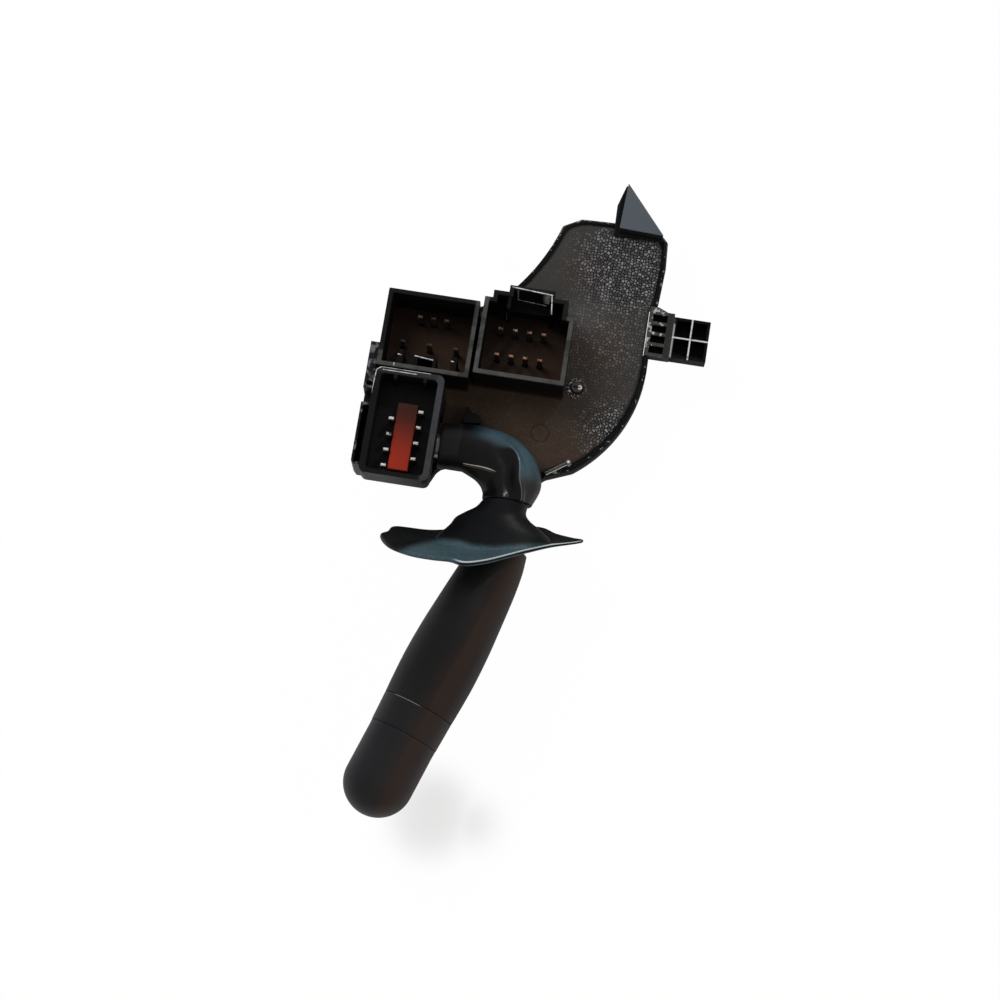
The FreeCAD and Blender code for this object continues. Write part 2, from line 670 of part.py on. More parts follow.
def shaft_wire():
    """Route of the shaft: through the carrier, round the elbow and into the handle."""
    bend2 = on_handle((shield_bend_y - handle_y) / handle_direction().y)
    points = [V(shaft_end, 0, lever_z), V(neck_x, 0, lever_z), bend2, on_handle(barrel_s0 + 14.0)]
    edges = []
    last = points[0]
    for i, r in ((1, bend_r1), (2, bend_r2)):
        back = (points[i - 1] - points[i]).normalize()
        ahead = (points[i + 1] - points[i]).normalize()
        half = back.getAngle(ahead) / 2
        reach = r / math.tan(half)
        first, second = points[i] + back * reach, points[i] + ahead * reach
        middle = points[i] + (back + ahead).normalize() * (r / math.sin(half) - r)
        edges.append(Part.makeLine(last, first))
        edges.append(Part.Arc(first, middle, second).toShape())
        last = second
    edges.append(Part.makeLine(last, points[3]))
    return Part.Wire(edges)


def shaft_solid(r):
    ring = Part.Wire(Part.makeCircle(r, V(shaft_end, 0, lever_z), V(1, 0, 0)))
    return shaft_wire().makePipeShell([ring], True, True)


def lever_shaft():
    groove = Part.makeCylinder(journal_r + 1, 0.6, V(-10.9, 0, lever_z), V(1, 0, 0))
    core = Part.makeCylinder(journal_r - 0.6, 0.6, V(-10.9, 0, lever_z), V(1, 0, 0))
    return shaft_solid(journal_r).cut(groove.cut(core))


def retaining_clip():
    ring = Part.makeCylinder(journal_r + 0.2, 0.55, V(-10.9, 0, lever_z), V(1, 0, 0))
    ring = ring.cut(Part.makeCylinder(journal_r - 0.55, 1, V(-11.0, 0, lever_z), V(1, 0, 0)))
    return ring.cut(box(-12, -9, -1.4, 1.4, lever_z + 1.0, lever_z + 9))


def dimmer_crank():
    hub = Part.makeCylinder(journal_r + 1.4, crank_x1 - crank_x0, V(crank_x0, 0, lever_z), V(1, 0, 0))
    arm = box(crank_x0, crank_x1, -crank_tip_r, crank_tip_r, lever_z - crank_len, lever_z)
    tip = Part.makeCylinder(crank_tip_r, crank_x1 - crank_x0, V(crank_x0, 0, lever_z - crank_len), V(1, 0, 0))
    body = hub.multiFuse([arm, tip])
    return body.cut(Part.makeCylinder(journal_r, 9, V(crank_x0 - 4, 0, lever_z), V(1, 0, 0)))


# Stations of the neck: x, y, heading in degrees, half width, half height
neck_stations = [
    (8.3, 0.2, 0.0, 6.9, 5.2),
    (15.5, 0.8, -4.0, 7.3, 5.2),
    (24.0, -0.9, -32.0, 8.7, 5.3),
    (29.2, -4.6, -52.0, 9.2, 5.4),
    (31.5, -9.6, -74.0, 8.9, 5.9),
    (30.7, -14.0, -90.0, 7.5, 6.4),
]


def neck_solid(shrink):
    wires = []
    for x, y, heading, half_w, half_h in neck_stations:
        a = math.radians(heading)
        along = V(math.cos(a), math.sin(a), 0)
        across = V(-math.sin(a), math.cos(a), 0)
        centre = V(x, y, lever_z)
        if shrink and x == neck_stations[0][0]:
            centre = centre - along * 1.0
        if shrink and (x, y) == neck_stations[-1][:2]:
            centre = centre + along * 1.0
        ellipse = Part.Ellipse(centre + across * (half_w - shrink), centre + V(0, 0, half_h - shrink), centre)
        wires.append(Part.Wire(ellipse.toShape()))
    return Part.makeLoft(wires, True, False)


def neck_shell():
    return neck_solid(0).cut(neck_solid(neck_wall))


def neck_upper():
    return neck_shell().common(box(-30, 80, -80, 80, lever_z, 60))


def neck_lower():
    return neck_shell().common(box(-30, 80, -80, 80, 0, lever_z))


def shield_frame():
    turn, tilt = math.radians(shield_turn), math.radians(shield_tilt)
    long_axis = V(math.cos(turn), math.sin(turn), 0)
    level = V(-math.sin(turn), math.cos(turn), 0)
    normal = level * math.cos(tilt) + UP * math.sin(tilt)
    return long_axis, normal.cross(long_axis), normal


# Edge of the shield in its own plane, along its long axis and across it
shield_edge = [(-32.4, -3.0), (-29.3, -11.4), (-23.0, -17.0), (-16.5, -19.0), (-11.4, -19.6), (-7.2, -23.2),
               (-1.5, -19.8), (5.9, -12.0), (11.9, -6.5), (18.5, -2.0), (27.3, 0.8), (24.3, 4.0), (19.6, 8.0),
               (14.5, 13.6), (3.0, 13.5), (-8.0, 11.0), (-18.0, 7.2), (-28.4, 6.8), (-30.6, 1.2)]


def in_shield_frame(shape):
    long_axis, across, normal = shield_frame()
    copy = shape.copy()
    turn = FreeCAD.Rotation(long_axis, across, normal, "ZXY")
    copy.Placement = FreeCAD.Placement(V(shield_x, shield_y, lever_z), turn)
    return copy


def dish_ball(r):
    """Ball whose lower side is the dish of the shield."""
    return in_shield_frame(Part.makeSphere(r, V(0, 0, shield_dish)))


def flare_solid():
    wires = []
    for x, y, half_w, half_h in flare_stations:
        centre = V(x, y, lever_z)
        ellipse = Part.Ellipse(centre + V(half_w, 0, 0), centre + V(0, 0, half_h), centre)
        wires.append(Part.Wire(ellipse.toShape()))
    return Part.makeLoft(wires, True, False)


def shield():
    curve = Part.BSplineCurve()
    curve.interpolate([V(a, b, 0) for a, b in shield_edge], PeriodicFlag=True)
    leaf = Part.Face(Part.Wire(curve.toShape())).extrude(V(0, 0, 40))
    leaf.translate(V(0, 0, -4))
    leaf = in_shield_frame(leaf)
    plate = leaf.common(dish_ball(shield_dish).cut(dish_ball(shield_dish - shield_t)))
    top = V(neck_x, neck_stations[-1][1] - neck_end_gap, lever_z)
    flare = flare_solid().common(dish_ball(shield_dish - shield_t / 2)).common(leaf)
    spigot = Part.makeCylinder(spigot_r, 4.0, top + V(0, 3.0, 0), V(0, -1, 0))
    tube = revolved([(0, sleeve_s0 + 1), (socket_r, sleeve_s0 + 1), (socket_r, tube_s1), (0, tube_s1)])
    body = plate.multiFuse([flare, spigot, tube])
    return body.cut(shaft_solid(journal_r)).removeSplitter()


def handle_sleeve():
    step_s = tube_s1 + sleeve_step
    inner = [(barrel_r, sleeve_s1), (barrel_r, barrel_s0), (sleeve_bore_r, barrel_s0 - sleeve_step),
             (sleeve_bore_r, step_s + 2 * sleeve_step), (socket_r, step_s + sleeve_step), (socket_r, sleeve_s0)]
    return revolved(sleeve_profile + inner).cut(dish_ball(shield_dish))


def lever_barrel():
    return revolved([(barrel_r0, barrel_s0), (barrel_r, barrel_s0), (barrel_r, barrel_s1), (barrel_r0, barrel_s1)])


def barrel_bush():
    """Bush that centres the barrel on the end of the shaft."""
    s0 = barrel_s0 + bush_start
    s1 = s0 + bush_len
    return revolved([(journal_r, s0), (barrel_r0, s0), (barrel_r0, s1), (journal_r, s1)])


def fog_ring():
    r = barrel_r + running_gap
    s0, s1 = sleeve_s1 + seam, ring_s1
    e = edge_round
    return revolved([(r, s0), (ring_r - e / 2, s0), (ring_r, s0 + e), (ring_r - e, s1 - e), (ring_r - 1.5 * e, s1),
                     (r, s1)])


def light_knob():
    r = barrel_r + running_gap
    s0 = ring_s1 + seam
    round_s = knob_s1 - knob_r
    e = edge_round
    shell = revolved([(r, s0), (knob_r - e, s0), (knob_r, s0 + e), (knob_r, round_s), (r, round_s)])
    end = placed_on_handle(Part.makeSphere(knob_r, V(0, 0, round_s), UP, 0, 90, 360))
    return shell.fuse(end).removeSplitter()


def contact_plate():
    r, s1 = barrel_r - 0.1, barrel_s1 + rotor_plate_t
    return revolved([(0, barrel_s1), (r, barrel_s1), (r, s1), (0, s1)])


def knob_rotor():
    s0 = barrel_s1 + rotor_plate_t + rotor_gap
    s1 = knob_s1 - knob_r
    r = barrel_r + running_gap
    body = revolved([(0, s0), (r, s0), (r, s1), (0, s1)])
    pocket = Part.makeCylinder(ball_r + 0.1, s1 - s0 - 0.6, V(ball_x, 0, s0), UP)
    return body.cut(placed_on_handle(pocket))


def knob_ball():
    return placed_on_handle(Part.makeSphere(ball_r, V(ball_x, 0, barrel_s1 + rotor_plate_t + 0.1 + ball_r)))


def side_clip():
    """Ribbed tongue between the plate and the block, and the grey spine at its end."""
    spine = box(clip_x1 - clip_spine, clip_x1, clip_y0, clip_y1, clip_z0, clip_z1)
    root = box(clip_x0, clip_x0 + 1.2, clip_y0, clip_y1, clip_z0, clip_z1)
    floor = box(clip_x0, clip_x1, clip_y0, clip_y1, clip_z0, clip_z0 + 1.0)
    step = (clip_y1 - clip_y0 - clip_rib) / (clip_ribs - 1)
    ribs = [box(clip_x0, clip_x1, clip_y0 + i * step, clip_y0 + i * step + clip_rib, clip_z0, clip_z1)
            for i in range(clip_ribs)]
    y1 = clip_y1 + clip_gusset
    wedge = polygon_face([(clip_x0, clip_y1), (clip_x1 - clip_spine, clip_y1), (clip_x0 + 2 * clip_gusset, y1),
                          (clip_x0, y1)])
    return fuse_all([spine, root, floor, prism(wedge, clip_z0, clip_z1)] + ribs)


def clip_block():
    x0 = clip_x1
    body = box(x0, block_end, block_y0, block_y1, block_z0, clip_z1)
    cells = []
    cell_x = (block_end - x0 - 3 * block_wall) / 2
    cell_y = (block_y1 - block_y0 - 3 * block_wall) / 2
    for i in range(2):
        for j in range(2):
            cx = x0 + block_wall + i * (cell_x + block_wall)
            cy = block_y0 + block_wall + j * (cell_y + block_wall)
            cells.append(box(cx, cx + cell_x, cy, cy + cell_y, clip_z1 - block_cell_depth, clip_z1 + 1))
    return cut_all(body, cells)


nodes = {
    "main_housing": main_housing,
    "bracket_posts": bracket_posts,
    "front_cover": front_cover,
    "cover_screws": cover_screws,
    "turret_case": turret_case,
    "side_rails": side_rails,
    "left_socket": left_socket,
    "mid_socket": mid_socket,
    "lower_socket": lower_socket,
    "left_pins": lambda: pins(left_places(), board_top, pin_tip),
    "mid_pins": lambda: pins(mid_places(), board_top, pin_tip),
    "lower_pins": lambda: pins(lower_places(), turret_top + upper_board_t, lower_pin_tip),
    "red_retainer": red_retainer,
    "guide_fin": guide_fin,
    "fin_foot": fin_foot,
    "terminal_board": terminal_board,
    "upper_board": upper_board,
    "fixed_contacts": fixed_contacts,
    "slider_guide": slider_guide,
    "detent_cam": detent_cam,
    "pivot_pin": pivot_pin,
    "pawl_pin": pawl_pin,
    "pawl_spring": pawl_spring,
    "boss_screw": boss_screw,
    "limit_pin": limit_pin,
    "stop_post": stop_post,
    "turn_carrier": turn_carrier,
    "detent_plunger": detent_plunger,
    "detent_spring": detent_spring,
    "dimmer_slider": dimmer_slider,
    "turn_slider": turn_slider,
    "moving_contact": moving_contact,
    "cancel_pawl": cancel_pawl,
    "lever_shaft": lever_shaft,
    "retaining_clip": retaining_clip,
    "dimmer_crank": dimmer_crank,
    "neck_upper": neck_upper,
    "neck_lower": neck_lower,
    "shield": shield,
    "handle_sleeve": handle_sleeve,
    "lever_barrel": lever_barrel,
    "barrel_bush": barrel_bush,
    "contact_plate": contact_plate,
    "fog_ring": fog_ring,
    "light_knob": light_knob,
    "knob_rotor": knob_rotor,
    "knob_ball": knob_ball,
    "side_clip": side_clip,
    "clip_block": clip_block,
}

os.makedirs("parts", exist_ok=True)
for name, make in nodes.items():
    shape = make()
    if not shape.isValid() or not shape.Solids:
        raise ValueError(name + " is not a sound solid")
    shape.exportStep(os.path.join("parts", name + ".step"))
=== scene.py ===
"""Looks of the combination stalk switch, laid out as an add-on.

Lengths in this file are millimetres in the same frame as the switch: +Z out of the mounting face, +Y up the
housing. Meshes are computed as whole arrays and converted to metres when they are made.
"""

import math

import bpy
import numpy as np
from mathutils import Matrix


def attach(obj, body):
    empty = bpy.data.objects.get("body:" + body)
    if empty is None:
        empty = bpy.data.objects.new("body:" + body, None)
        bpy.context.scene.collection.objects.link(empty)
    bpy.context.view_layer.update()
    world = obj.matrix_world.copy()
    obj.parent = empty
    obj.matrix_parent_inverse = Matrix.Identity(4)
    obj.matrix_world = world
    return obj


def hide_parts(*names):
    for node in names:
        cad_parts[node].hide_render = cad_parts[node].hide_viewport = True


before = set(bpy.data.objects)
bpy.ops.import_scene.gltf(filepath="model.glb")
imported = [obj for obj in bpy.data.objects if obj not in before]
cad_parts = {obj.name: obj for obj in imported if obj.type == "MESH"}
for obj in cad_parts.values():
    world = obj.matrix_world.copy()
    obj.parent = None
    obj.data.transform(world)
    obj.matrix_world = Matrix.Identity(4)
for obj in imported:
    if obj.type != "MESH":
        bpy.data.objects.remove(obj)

bl_info = {
    "name": "Stalk switch looks",
    "version": (1, 0, 0),
    "blender": (4, 5, 0),
    "location": "View3D > Sidebar > Stalk switch",
    "description": "Builds the looks of a combination stalk switch round its packed parts",
    "category": "Object",
}

MM = 0.001
SHARP = math.radians(40.0)  # edges with a wider turn are rounded
PLATE_TOP = 17.0
LEVER_HEIGHT = 23.5

# Outline of the plate, in order; the two sides are arcs through three points
FOOT = [(-13.6, -10.0), (5.6, -10.0), (7.6, -5.6), (9.4, -3.8), (18.0, -3.8), (24.0, -4.4), (38.8, -4.4), (40.7, -2.7)]
ROUND_SIDE = [(48.6, 0.6), (62.0, 17.0), (66.3, 35.0)]
FLANK = [(66.1, 50.0), (67.0, 59.0), (67.5, 68.5), (67.0, 77.0), (64.3, 79.7), (49.6, 81.0), (39.5, 80.6)]
HOLLOW_SIDE = [(33.9, 77.5), (28.9, 65.2), (21.5, 54.2)]
HEAD = [(15.5, 49.5), (13.5, 47.9), (10.0, 46.6), (-12.6, 46.5), (-13.6, 30.0)]
SEEN_FROM = (26.0, 43.0)  # sees the whole outline of the plate
UNDER_NECK = (25.8, 40.7)  # x range of the bevel under the neck
BEVEL_START, BEVEL_DEPTH, BEVEL_WIDTH = -4.4, 1.3, 4.6
CLIP_NOTCH, NOTCH_EDGE = (39.5, 56.1), 64.4  # y range of the notch behind the clip, and the x it ends at
WINDOW, WINDOW_RADIUS, WINDOW_HEIGHTS = (33.0, 60.0), 8.5, (4.9, 9.9)  # opening in the case's hollow side
BOSS = (46.0, 26.0)

# Stations of the neck: x, y, heading in degrees, half width, half height
NECK = [(8.3, 0.2, 0.0, 6.9, 5.2), (15.5, 0.8, -4.0, 7.3, 5.2), (24.0, -0.9, -32.0, 8.7, 5.3),
        (29.2, -4.6, -52.0, 9.2, 5.4), (31.5, -9.6, -74.0, 8.9, 5.9), (30.7, -14.0, -90.0, 7.5, 6.4)]

# Stations of the flare between the neck and the shield: x, y, half width, half height
FLARE = [(30.2, -14.5, 6.8, 6.4), (29.3, -17.0, 7.7, 6.5), (28.7, -19.0, 10.0, 6.6), (29.1, -21.0, 12.9, 6.9),
         (30.0, -23.5, 15.2, 7.3), (29.5, -27.5, 18.0, 7.8), (29.0, -33.0, 21.0, 8.5)]

# Edge of the shield in its own plane, along its long axis and across it
SHIELD_EDGE = [(-32.4, -3.0), (-29.3, -11.4), (-23.0, -17.0), (-16.5, -19.0), (-11.4, -19.6), (-7.2, -23.2),
               (-1.5, -19.8), (5.9, -12.0), (11.9, -6.5), (18.5, -2.0), (27.3, 0.8), (24.3, 4.0), (19.6, 8.0),
               (14.5, 13.6), (3.0, 13.5), (-8.0, 11.0), (-18.0, 7.2), (-28.4, 6.8), (-30.6, 1.2)]

DISH_CENTRE = np.array([27.8, -27.8, LEVER_HEIGHT])
DISH_GAP = 0.05  # between the back of the dish and the sleeve

# View of the photograph: its centre, and its right and upward directions
VIEW_CENTRE = np.array([0, -2.2, 25.0])
VIEW_RIGHT = np.array([0.9877, 0.1564, 0.0])
VIEW_UP = np.array([-0.1524, 0.9624, 0.2250])

# Upper edge of the shield's painted teal sheen, across and up in that view
TEAL_SHEEN_TOP = [(-6.0, -29.7), (4.1, -27.4), (9.3, -26.4), (14.1, -26.7), (18.6, -28.1), (24.6, -28.5), (33.9, -27.8),
            (44.7, -28.1), (51.9, -27.9)]

# Handle: a point of its axis, its lean, its direction and its side; then places along it of the seams
HANDLE = np.array([28.0, -39.7, LEVER_HEIGHT])
LEAN = math.radians(18.7)
HANDLE_AXIS = np.array([-math.sin(LEAN), -math.cos(LEAN), 0.0])
HANDLE_SIDE = np.array([math.cos(LEAN), -math.sin(LEAN), 0.0])
SLEEVE_END, RING_START, RING_END, KNOB_START = 41.68, 41.8, 50.72, 50.82
SEAM_RADIUS = 8.7  # how deep the seams go

# Painted highlight lines on the sockets' rims: start, end, half width
SOCKET_HIGHLIGHTS = [((22.2, 50.0), (34.8, 49.2), 0.17), ((24.0, 49.1), (33.0, 48.5), 0.12),
                ((21.2, 46.6), (21.5, 44.1), 0.16), ((34.5, 49.0), (35.2, 43.4), 0.16),
                ((-9.3, 24.6), (-7.4, 24.3), 0.16), ((-9.2, 24.4), (-9.0, 20.2), 0.12),
                ((5.6, 25.0), (8.4, 24.6), 0.16), ((-3.8, 25.0), (2.2, 24.4), 0.16)]
LOWER_HIGHLIGHTS = [((-11.6, 17.0), (3.0, 17.0), 0.14), ((-11.2, 16.2), (-1.0, 16.2), 0.11),
               ((-13.0, 16.0), (-11.6, 17.0), 0.13), ((-13.4, 8.5), (-13.0, 16.2), 0.12)]


class PlateSettings(bpy.types.PropertyGroup):
    shoulder: bpy.props.FloatProperty(name="Shoulder", description="Radius of the plate's rounded edge", default=0.0011,
                                      min=0.0002, max=0.003, unit="LENGTH")
    groove: bpy.props.FloatProperty(name="Groove", description="Depth of the groove inside the edge", default=0.0003,
                                    min=0.0, max=0.001, unit="LENGTH")
    grain: bpy.props.FloatProperty(name="Grain", description="Size of the leather grain", default=0.0011, min=0.0003,
                                   max=0.004, unit="LENGTH")
    relief: bpy.props.FloatProperty(name="Relief", description="Strength of the leather grain", default=0.55, min=0.0,
                                    max=1.0, unit="NONE")


class LeverSettings(bpy.types.PropertyGroup):
    crest: bpy.props.FloatProperty(name="Crest", description="Height of the neck's crest", default=0.0011, min=0.0,
                                   max=0.003, unit="LENGTH")
    seam: bpy.props.FloatProperty(name="Seam", description="Radius of the edges at the handle's seams", default=0.00014,
                                  min=0.0001, max=0.001, unit="LENGTH")
    dish: bpy.props.FloatProperty(name="Dish", description="Radius of the shield's dish", default=0.25, min=0.1,
                                  max=1.0, unit="LENGTH")
    thickness: bpy.props.FloatProperty(name="Thickness", description="Thickness of the shield", default=0.0014,
                                       min=0.0005, max=0.003, unit="LENGTH")


class DetailSettings(bpy.types.PropertyGroup):
    edge: bpy.props.FloatProperty(name="Edge", description="Radius of moulded edges", default=0.00025, min=0.00005,
                                  max=0.001, unit="LENGTH")
    wear: bpy.props.FloatProperty(name="Wear", description="How light the clip's worn edges are", default=0.5, min=0.0,
                                  max=1.0, unit="NONE")


class StageSettings(bpy.types.PropertyGroup):
    elevation: bpy.props.FloatProperty(name="Elevation", description="Camera's angle above the ground",
                                       default=math.radians(77.0), min=0.0, max=1.57, unit="ROTATION")
    azimuth: bpy.props.FloatProperty(name="Azimuth", description="Camera's turn from the -Y direction",
                                     default=math.radians(9.0), min=-3.15, max=3.15, unit="ROTATION")
    distance: bpy.props.FloatProperty(name="Distance", description="Camera's distance", default=0.7, min=0.1, max=5.0,
                                      unit="LENGTH")
    key: bpy.props.FloatProperty(name="Key", description="Power of the key light", default=2.6, min=0.0, max=100.0,
                                 unit="POWER")


# Arrays

def unit(v):
    """Vectors along the last axis, scaled to length 1."""
    v = np.asarray(v, float)
    return v / np.maximum(np.linalg.norm(v, axis=-1, keepdims=True), 1e-12)


def arc_through(start, middle, end, count=28):
    """Points on the circle c + r (cos t, sin t) that runs from start to end through middle."""
    a, m, b = (np.array(p, float) for p in (start, middle, end))
    centre = np.linalg.solve(2 * np.array([m - a, b - a]), np.array([m @ m - a @ a, b @ b - a @ a]))
    r = np.linalg.norm(a - centre)
    ta, tm, tb = (math.atan2(*(p - centre)[::-1]) for p in (a, m, b))
    sweep = (tb - ta) % math.tau
    if (tm - ta) % math.tau > sweep:
        sweep -= math.tau
    t = ta + np.linspace(0, 1, count) * sweep
    return centre + r * np.stack([np.cos(t), np.sin(t)], 1)


def evenly(points, count, rounding=0.0):
    """Closed path resampled at equal steps of its length, corners averaged over the rounding distance."""
    p = np.asarray(points, float)
    loop = np.vstack([p, p[:1]])
    length = np.concatenate([[0], np.cumsum(np.linalg.norm(np.diff(loop, axis=0), axis=1))])
    s = np.arange(count) / count * length[-1]
    even = np.stack([np.interp(s, length, loop[:, i]) for i in range(p.shape[1])], 1)
    reach = int(rounding / length[-1] * count)
    if reach:
        even = np.mean([np.roll(even, k, 0) for k in range(-reach, reach + 1)], 0)
    return even


def spline(points, count, closed=True):
    """Catmull-Rom curve: p = ((2b) + (c-a)t + (2a-5b+4c-d)t^2 + (3b-a-3c+d)t^3) / 2 between b and c."""
    p = np.asarray(points, float)
    n = len(p)
    s = np.linspace(0, n if closed else n - 1, count, endpoint=not closed)
    i = np.minimum(s.astype(int), n - 1 if closed else n - 2)
    t = (s - i)[:, None]
    if closed:
        a, b, c, d = (p[(i + k) % n] for k in (-1, 0, 1, 2))
    else:
        q = np.vstack([2 * p[0] - p[1], p, 2 * p[-1] - p[-2]])
        a, b, c, d = (q[i + k] for k in range(4))
    return (2 * b + (c - a) * t + (2 * a - 5 * b + 4 * c - d) * t**2 + (3 * b - a - 3 * c + d) * t**3) / 2


def inward(path):
    """Unit normals of a closed path, pointing to its left."""
    along = unit(np.roll(path, -1, 0) - np.roll(path, 1, 0))
    return np.stack([-along[:, 1], along[:, 0]], 1)


def ease(x):
    """Smooth step 3x^2 - 2x^3 of a value held between 0 and 1."""
    x = np.clip(x, 0, 1)
    return x * x * (3 - 2 * x)


def lattice(rows, columns, wrap=True):
    """Corner numbers of the quads of a grid with that many rows and columns."""
    i = np.arange(rows - 1)[:, None]
    j = np.arange(columns if wrap else columns - 1)[None, :]
    k = (j + 1) % columns
    i, j, k = np.broadcast_arrays(i, j, k)
    return np.stack([i * columns + j, i * columns + k, (i + 1) * columns + k, (i + 1) * columns + j], -1).reshape(-1, 4)


def shelled(points, profile, count):
    """Rings of a closed path: ring k is the path moved in by profile[k][0] at height profile[k][1].

    Each ring starts from the path with its corners rounded by a little more than it is moved in, so that no
    ring crosses itself.
    """
    rings = []
    for move, height in profile:
        path = evenly(points, count, max(0.5, 1.5 * move))
        flat = path + inward(path) * move
        rings.append(np.concatenate([flat, np.full((count, 1), height)], 1))
    return np.array(rings)


def turned(profile, origin, axis, side, count):
    """Surface of revolution origin + s axis + r (cos t side + sin t up) from (r, s) pairs."""
    r, s = np.array(profile, float).T
    axis, side = unit(axis), unit(side)
    up = np.cross(axis, side)
    t = np.arange(count) / count * math.tau
    spoke = np.cos(t)[:, None] * side + np.sin(t)[:, None] * up
    return np.array(origin) + s[:, None, None] * axis + r[:, None, None] * spoke[None]


def joined(pieces):
    """One (points, quads) from several, with the corner numbers shifted."""
    start = np.cumsum([0] + [len(p[0]) for p in pieces[:-1]])
    return np.vstack([p[0] for p in pieces]), np.vstack([q[1] + s for q, s in zip(pieces, start)])


def surface(grid, wrap=True):
    """Points and quads of a (rows, columns, 3) grid."""
    return grid.reshape(-1, 3), lattice(grid.shape[0], grid.shape[1], wrap)


def make_piece(name, points, quads, material, body, values=None):
    """Mesh object at the origin from points in millimetres, riding on a body."""
    mesh = bpy.data.meshes.new(name)
    mesh.vertices.add(len(points))
    mesh.vertices.foreach_set("co", (points * MM).astype(np.float32).ravel())
    mesh.loops.add(quads.size)
    mesh.loops.foreach_set("vertex_index", quads.ravel().astype(np.int32))
    mesh.polygons.add(len(quads))
    mesh.polygons.foreach_set("loop_start", np.arange(0, quads.size, 4, dtype=np.int32))
    mesh.polygons.foreach_set("loop_total", np.full(len(quads), 4, np.int32))
    for label, data in (values or {}).items():
        layer = mesh.attributes.new(label, "FLOAT", "POINT")
        layer.data.foreach_set("value", np.asarray(data, np.float32).ravel())
    mesh.update(calc_edges=True)
    mesh.polygons.foreach_set("use_smooth", np.full(len(quads), True))
    mesh.materials.append(material)
    obj = bpy.data.objects.new(name, mesh)
    bpy.context.scene.collection.objects.link(obj)
    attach(obj, body)
    return obj


def soften(obj, width):
    """Welds a faceted part and rounds its sharp edges."""
    weld = obj.modifiers.new("Weld", "WELD")
    weld.merge_threshold = 1e-6
    bevel = obj.modifiers.new("Rounded edges", "BEVEL")
    bevel.width = width
    bevel.segments = 2
    bevel.limit_method = "ANGLE"
    bevel.angle_limit = SHARP
    bevel.harden_normals = True
    bevel.use_clamp_overlap = True


# Materials

def rgb(r, g, b):
    """Colour on screen, 0 to 255, as linear light."""
    return tuple((c / 255 / 12.92 if c <= 10 else ((c / 255 + 0.055) / 1.055) ** 2.4) for c in (r, g, b)) + (1.0,)


PAINTED_HIGHLIGHT = (205, 205, 203)  # painted highlight lines


class Shader:
    """Short names for adding nodes to a tree; each call returns the new node's output."""

    def __init__(self, tree, place=None):
        self.tree = tree
        self.place = place

    def add(self, kind, inputs=None, out=0, **settings):
        node = self.tree.nodes.new("ShaderNode" + kind)
        for key, value in settings.items():
            setattr(node, key, value)
        for key, value in (inputs or {}).items():
            if isinstance(value, bpy.types.NodeSocket):
                self.tree.links.new(value, node.inputs[key])
            else:
                node.inputs[key].default_value = value
        return node.outputs[out]

    def math(self, operation, a, b=0.0, clamp=False):
        return self.add("Math", {0: a, 1: b}, operation=operation, use_clamp=clamp)

    def times(self, a, b):
        return self.math("MULTIPLY", a, b)

    def plus(self, a, b, clamp=False):
        return self.math("ADD", a, b, clamp)

    def minus(self, a, b):
        return self.math("SUBTRACT", a, b)

    def most(self, a, b, clamp=False):
        return self.math("MAXIMUM", a, b, clamp)

    def absolute(self, a):
        return self.math("ABSOLUTE", a)

    def step(self, value, low, high, to_low=0.0, to_high=1.0):
        return self.add("MapRange", {"Value": value, "From Min": low, "From Max": high, "To Min": to_low,
                                               "To Max": to_high}, interpolation_type="SMOOTHSTEP")

    def fall(self, value, low, high):
        """1 below low, fading to 0 above high."""
        return self.step(value, low, high, 1.0, 0.0)

    def between(self, value, low, full, full_end, end):
        """0 up to low, 1 from full to full_end, and 0 again from end."""
        return self.times(self.step(value, low, full), self.fall(value, full_end, end))

    def mix(self, fac, a, b):
        """Mixture of two colours, each an output or a tuple as on screen."""
        a, b = (rgb(*c) if isinstance(c, tuple) else c for c in (a, b))
        return self.add("Mix", {0: fac, 6: a, 7: b}, out=2, data_type="RGBA")

    def noise(self, scale, detail=3.0, rough=0.55):
        return self.add("TexNoise", {"Vector": self.place, "Scale": scale, "Detail": detail,
                                               "Roughness": rough})

    def locate(self):
        """Places are the object's own coordinates from here on."""
        self.place = self.add("TexCoord", out=3)

    def axes(self, vector=None):
        """The three parts of a vector, or of the place."""
        node = self.tree.nodes.new("ShaderNodeSeparateXYZ")
        self.tree.links.new(self.place if vector is None else vector, node.inputs[0])
        return node.outputs

    def away(self, centre):
        """Distance from a point given in millimetres."""
        point = tuple(c * MM for c in centre)
        return self.add("VectorMath", {0: self.place, 1: point}, out=1, operation="DISTANCE")

    def near(self, centre, radius, edge):
        """1 inside a ball round a point in millimetres, fading to 0 over the edge width."""
        return self.fall(self.away(centre), (radius - edge) * MM, (radius + edge) * MM)

    def line(self, value, centre, half):
        """1 where the value is within half a width of the centre, both in millimetres."""
        away = self.absolute(self.minus(value, centre * MM))
        return self.fall(away, half * 0.6 * MM, half * 1.2 * MM)

    def streak(self, start, end, half):
        """1 along a straight line between two points (x, y) in millimetres, seen from above."""
        (ax, ay), (bx, by) = start, end
        length = math.hypot(bx - ax, by - ay)
        ux, uy = (bx - ax) / length, (by - ay) / length
        x, y, _ = self.axes()
        along = self.plus(self.times(x, ux), self.times(y, uy))
        across = self.minus(self.times(y, ux), self.times(x, uy))
        middle = (ax + bx) / 2 * ux + (ay + by) / 2 * uy
        away = self.absolute(self.minus(along, middle * MM))
        ends = self.fall(away, (length / 2 - half) * MM, (length / 2 + half) * MM)
        return self.times(self.line(across, ay * ux - ax * uy, half), ends)

    def value(self, label):
        return self.add("Attribute", out=2, attribute_name=label)

    def group(self, name, inputs):
        return self.add("Group", inputs, node_tree=bpy.data.node_groups[name])


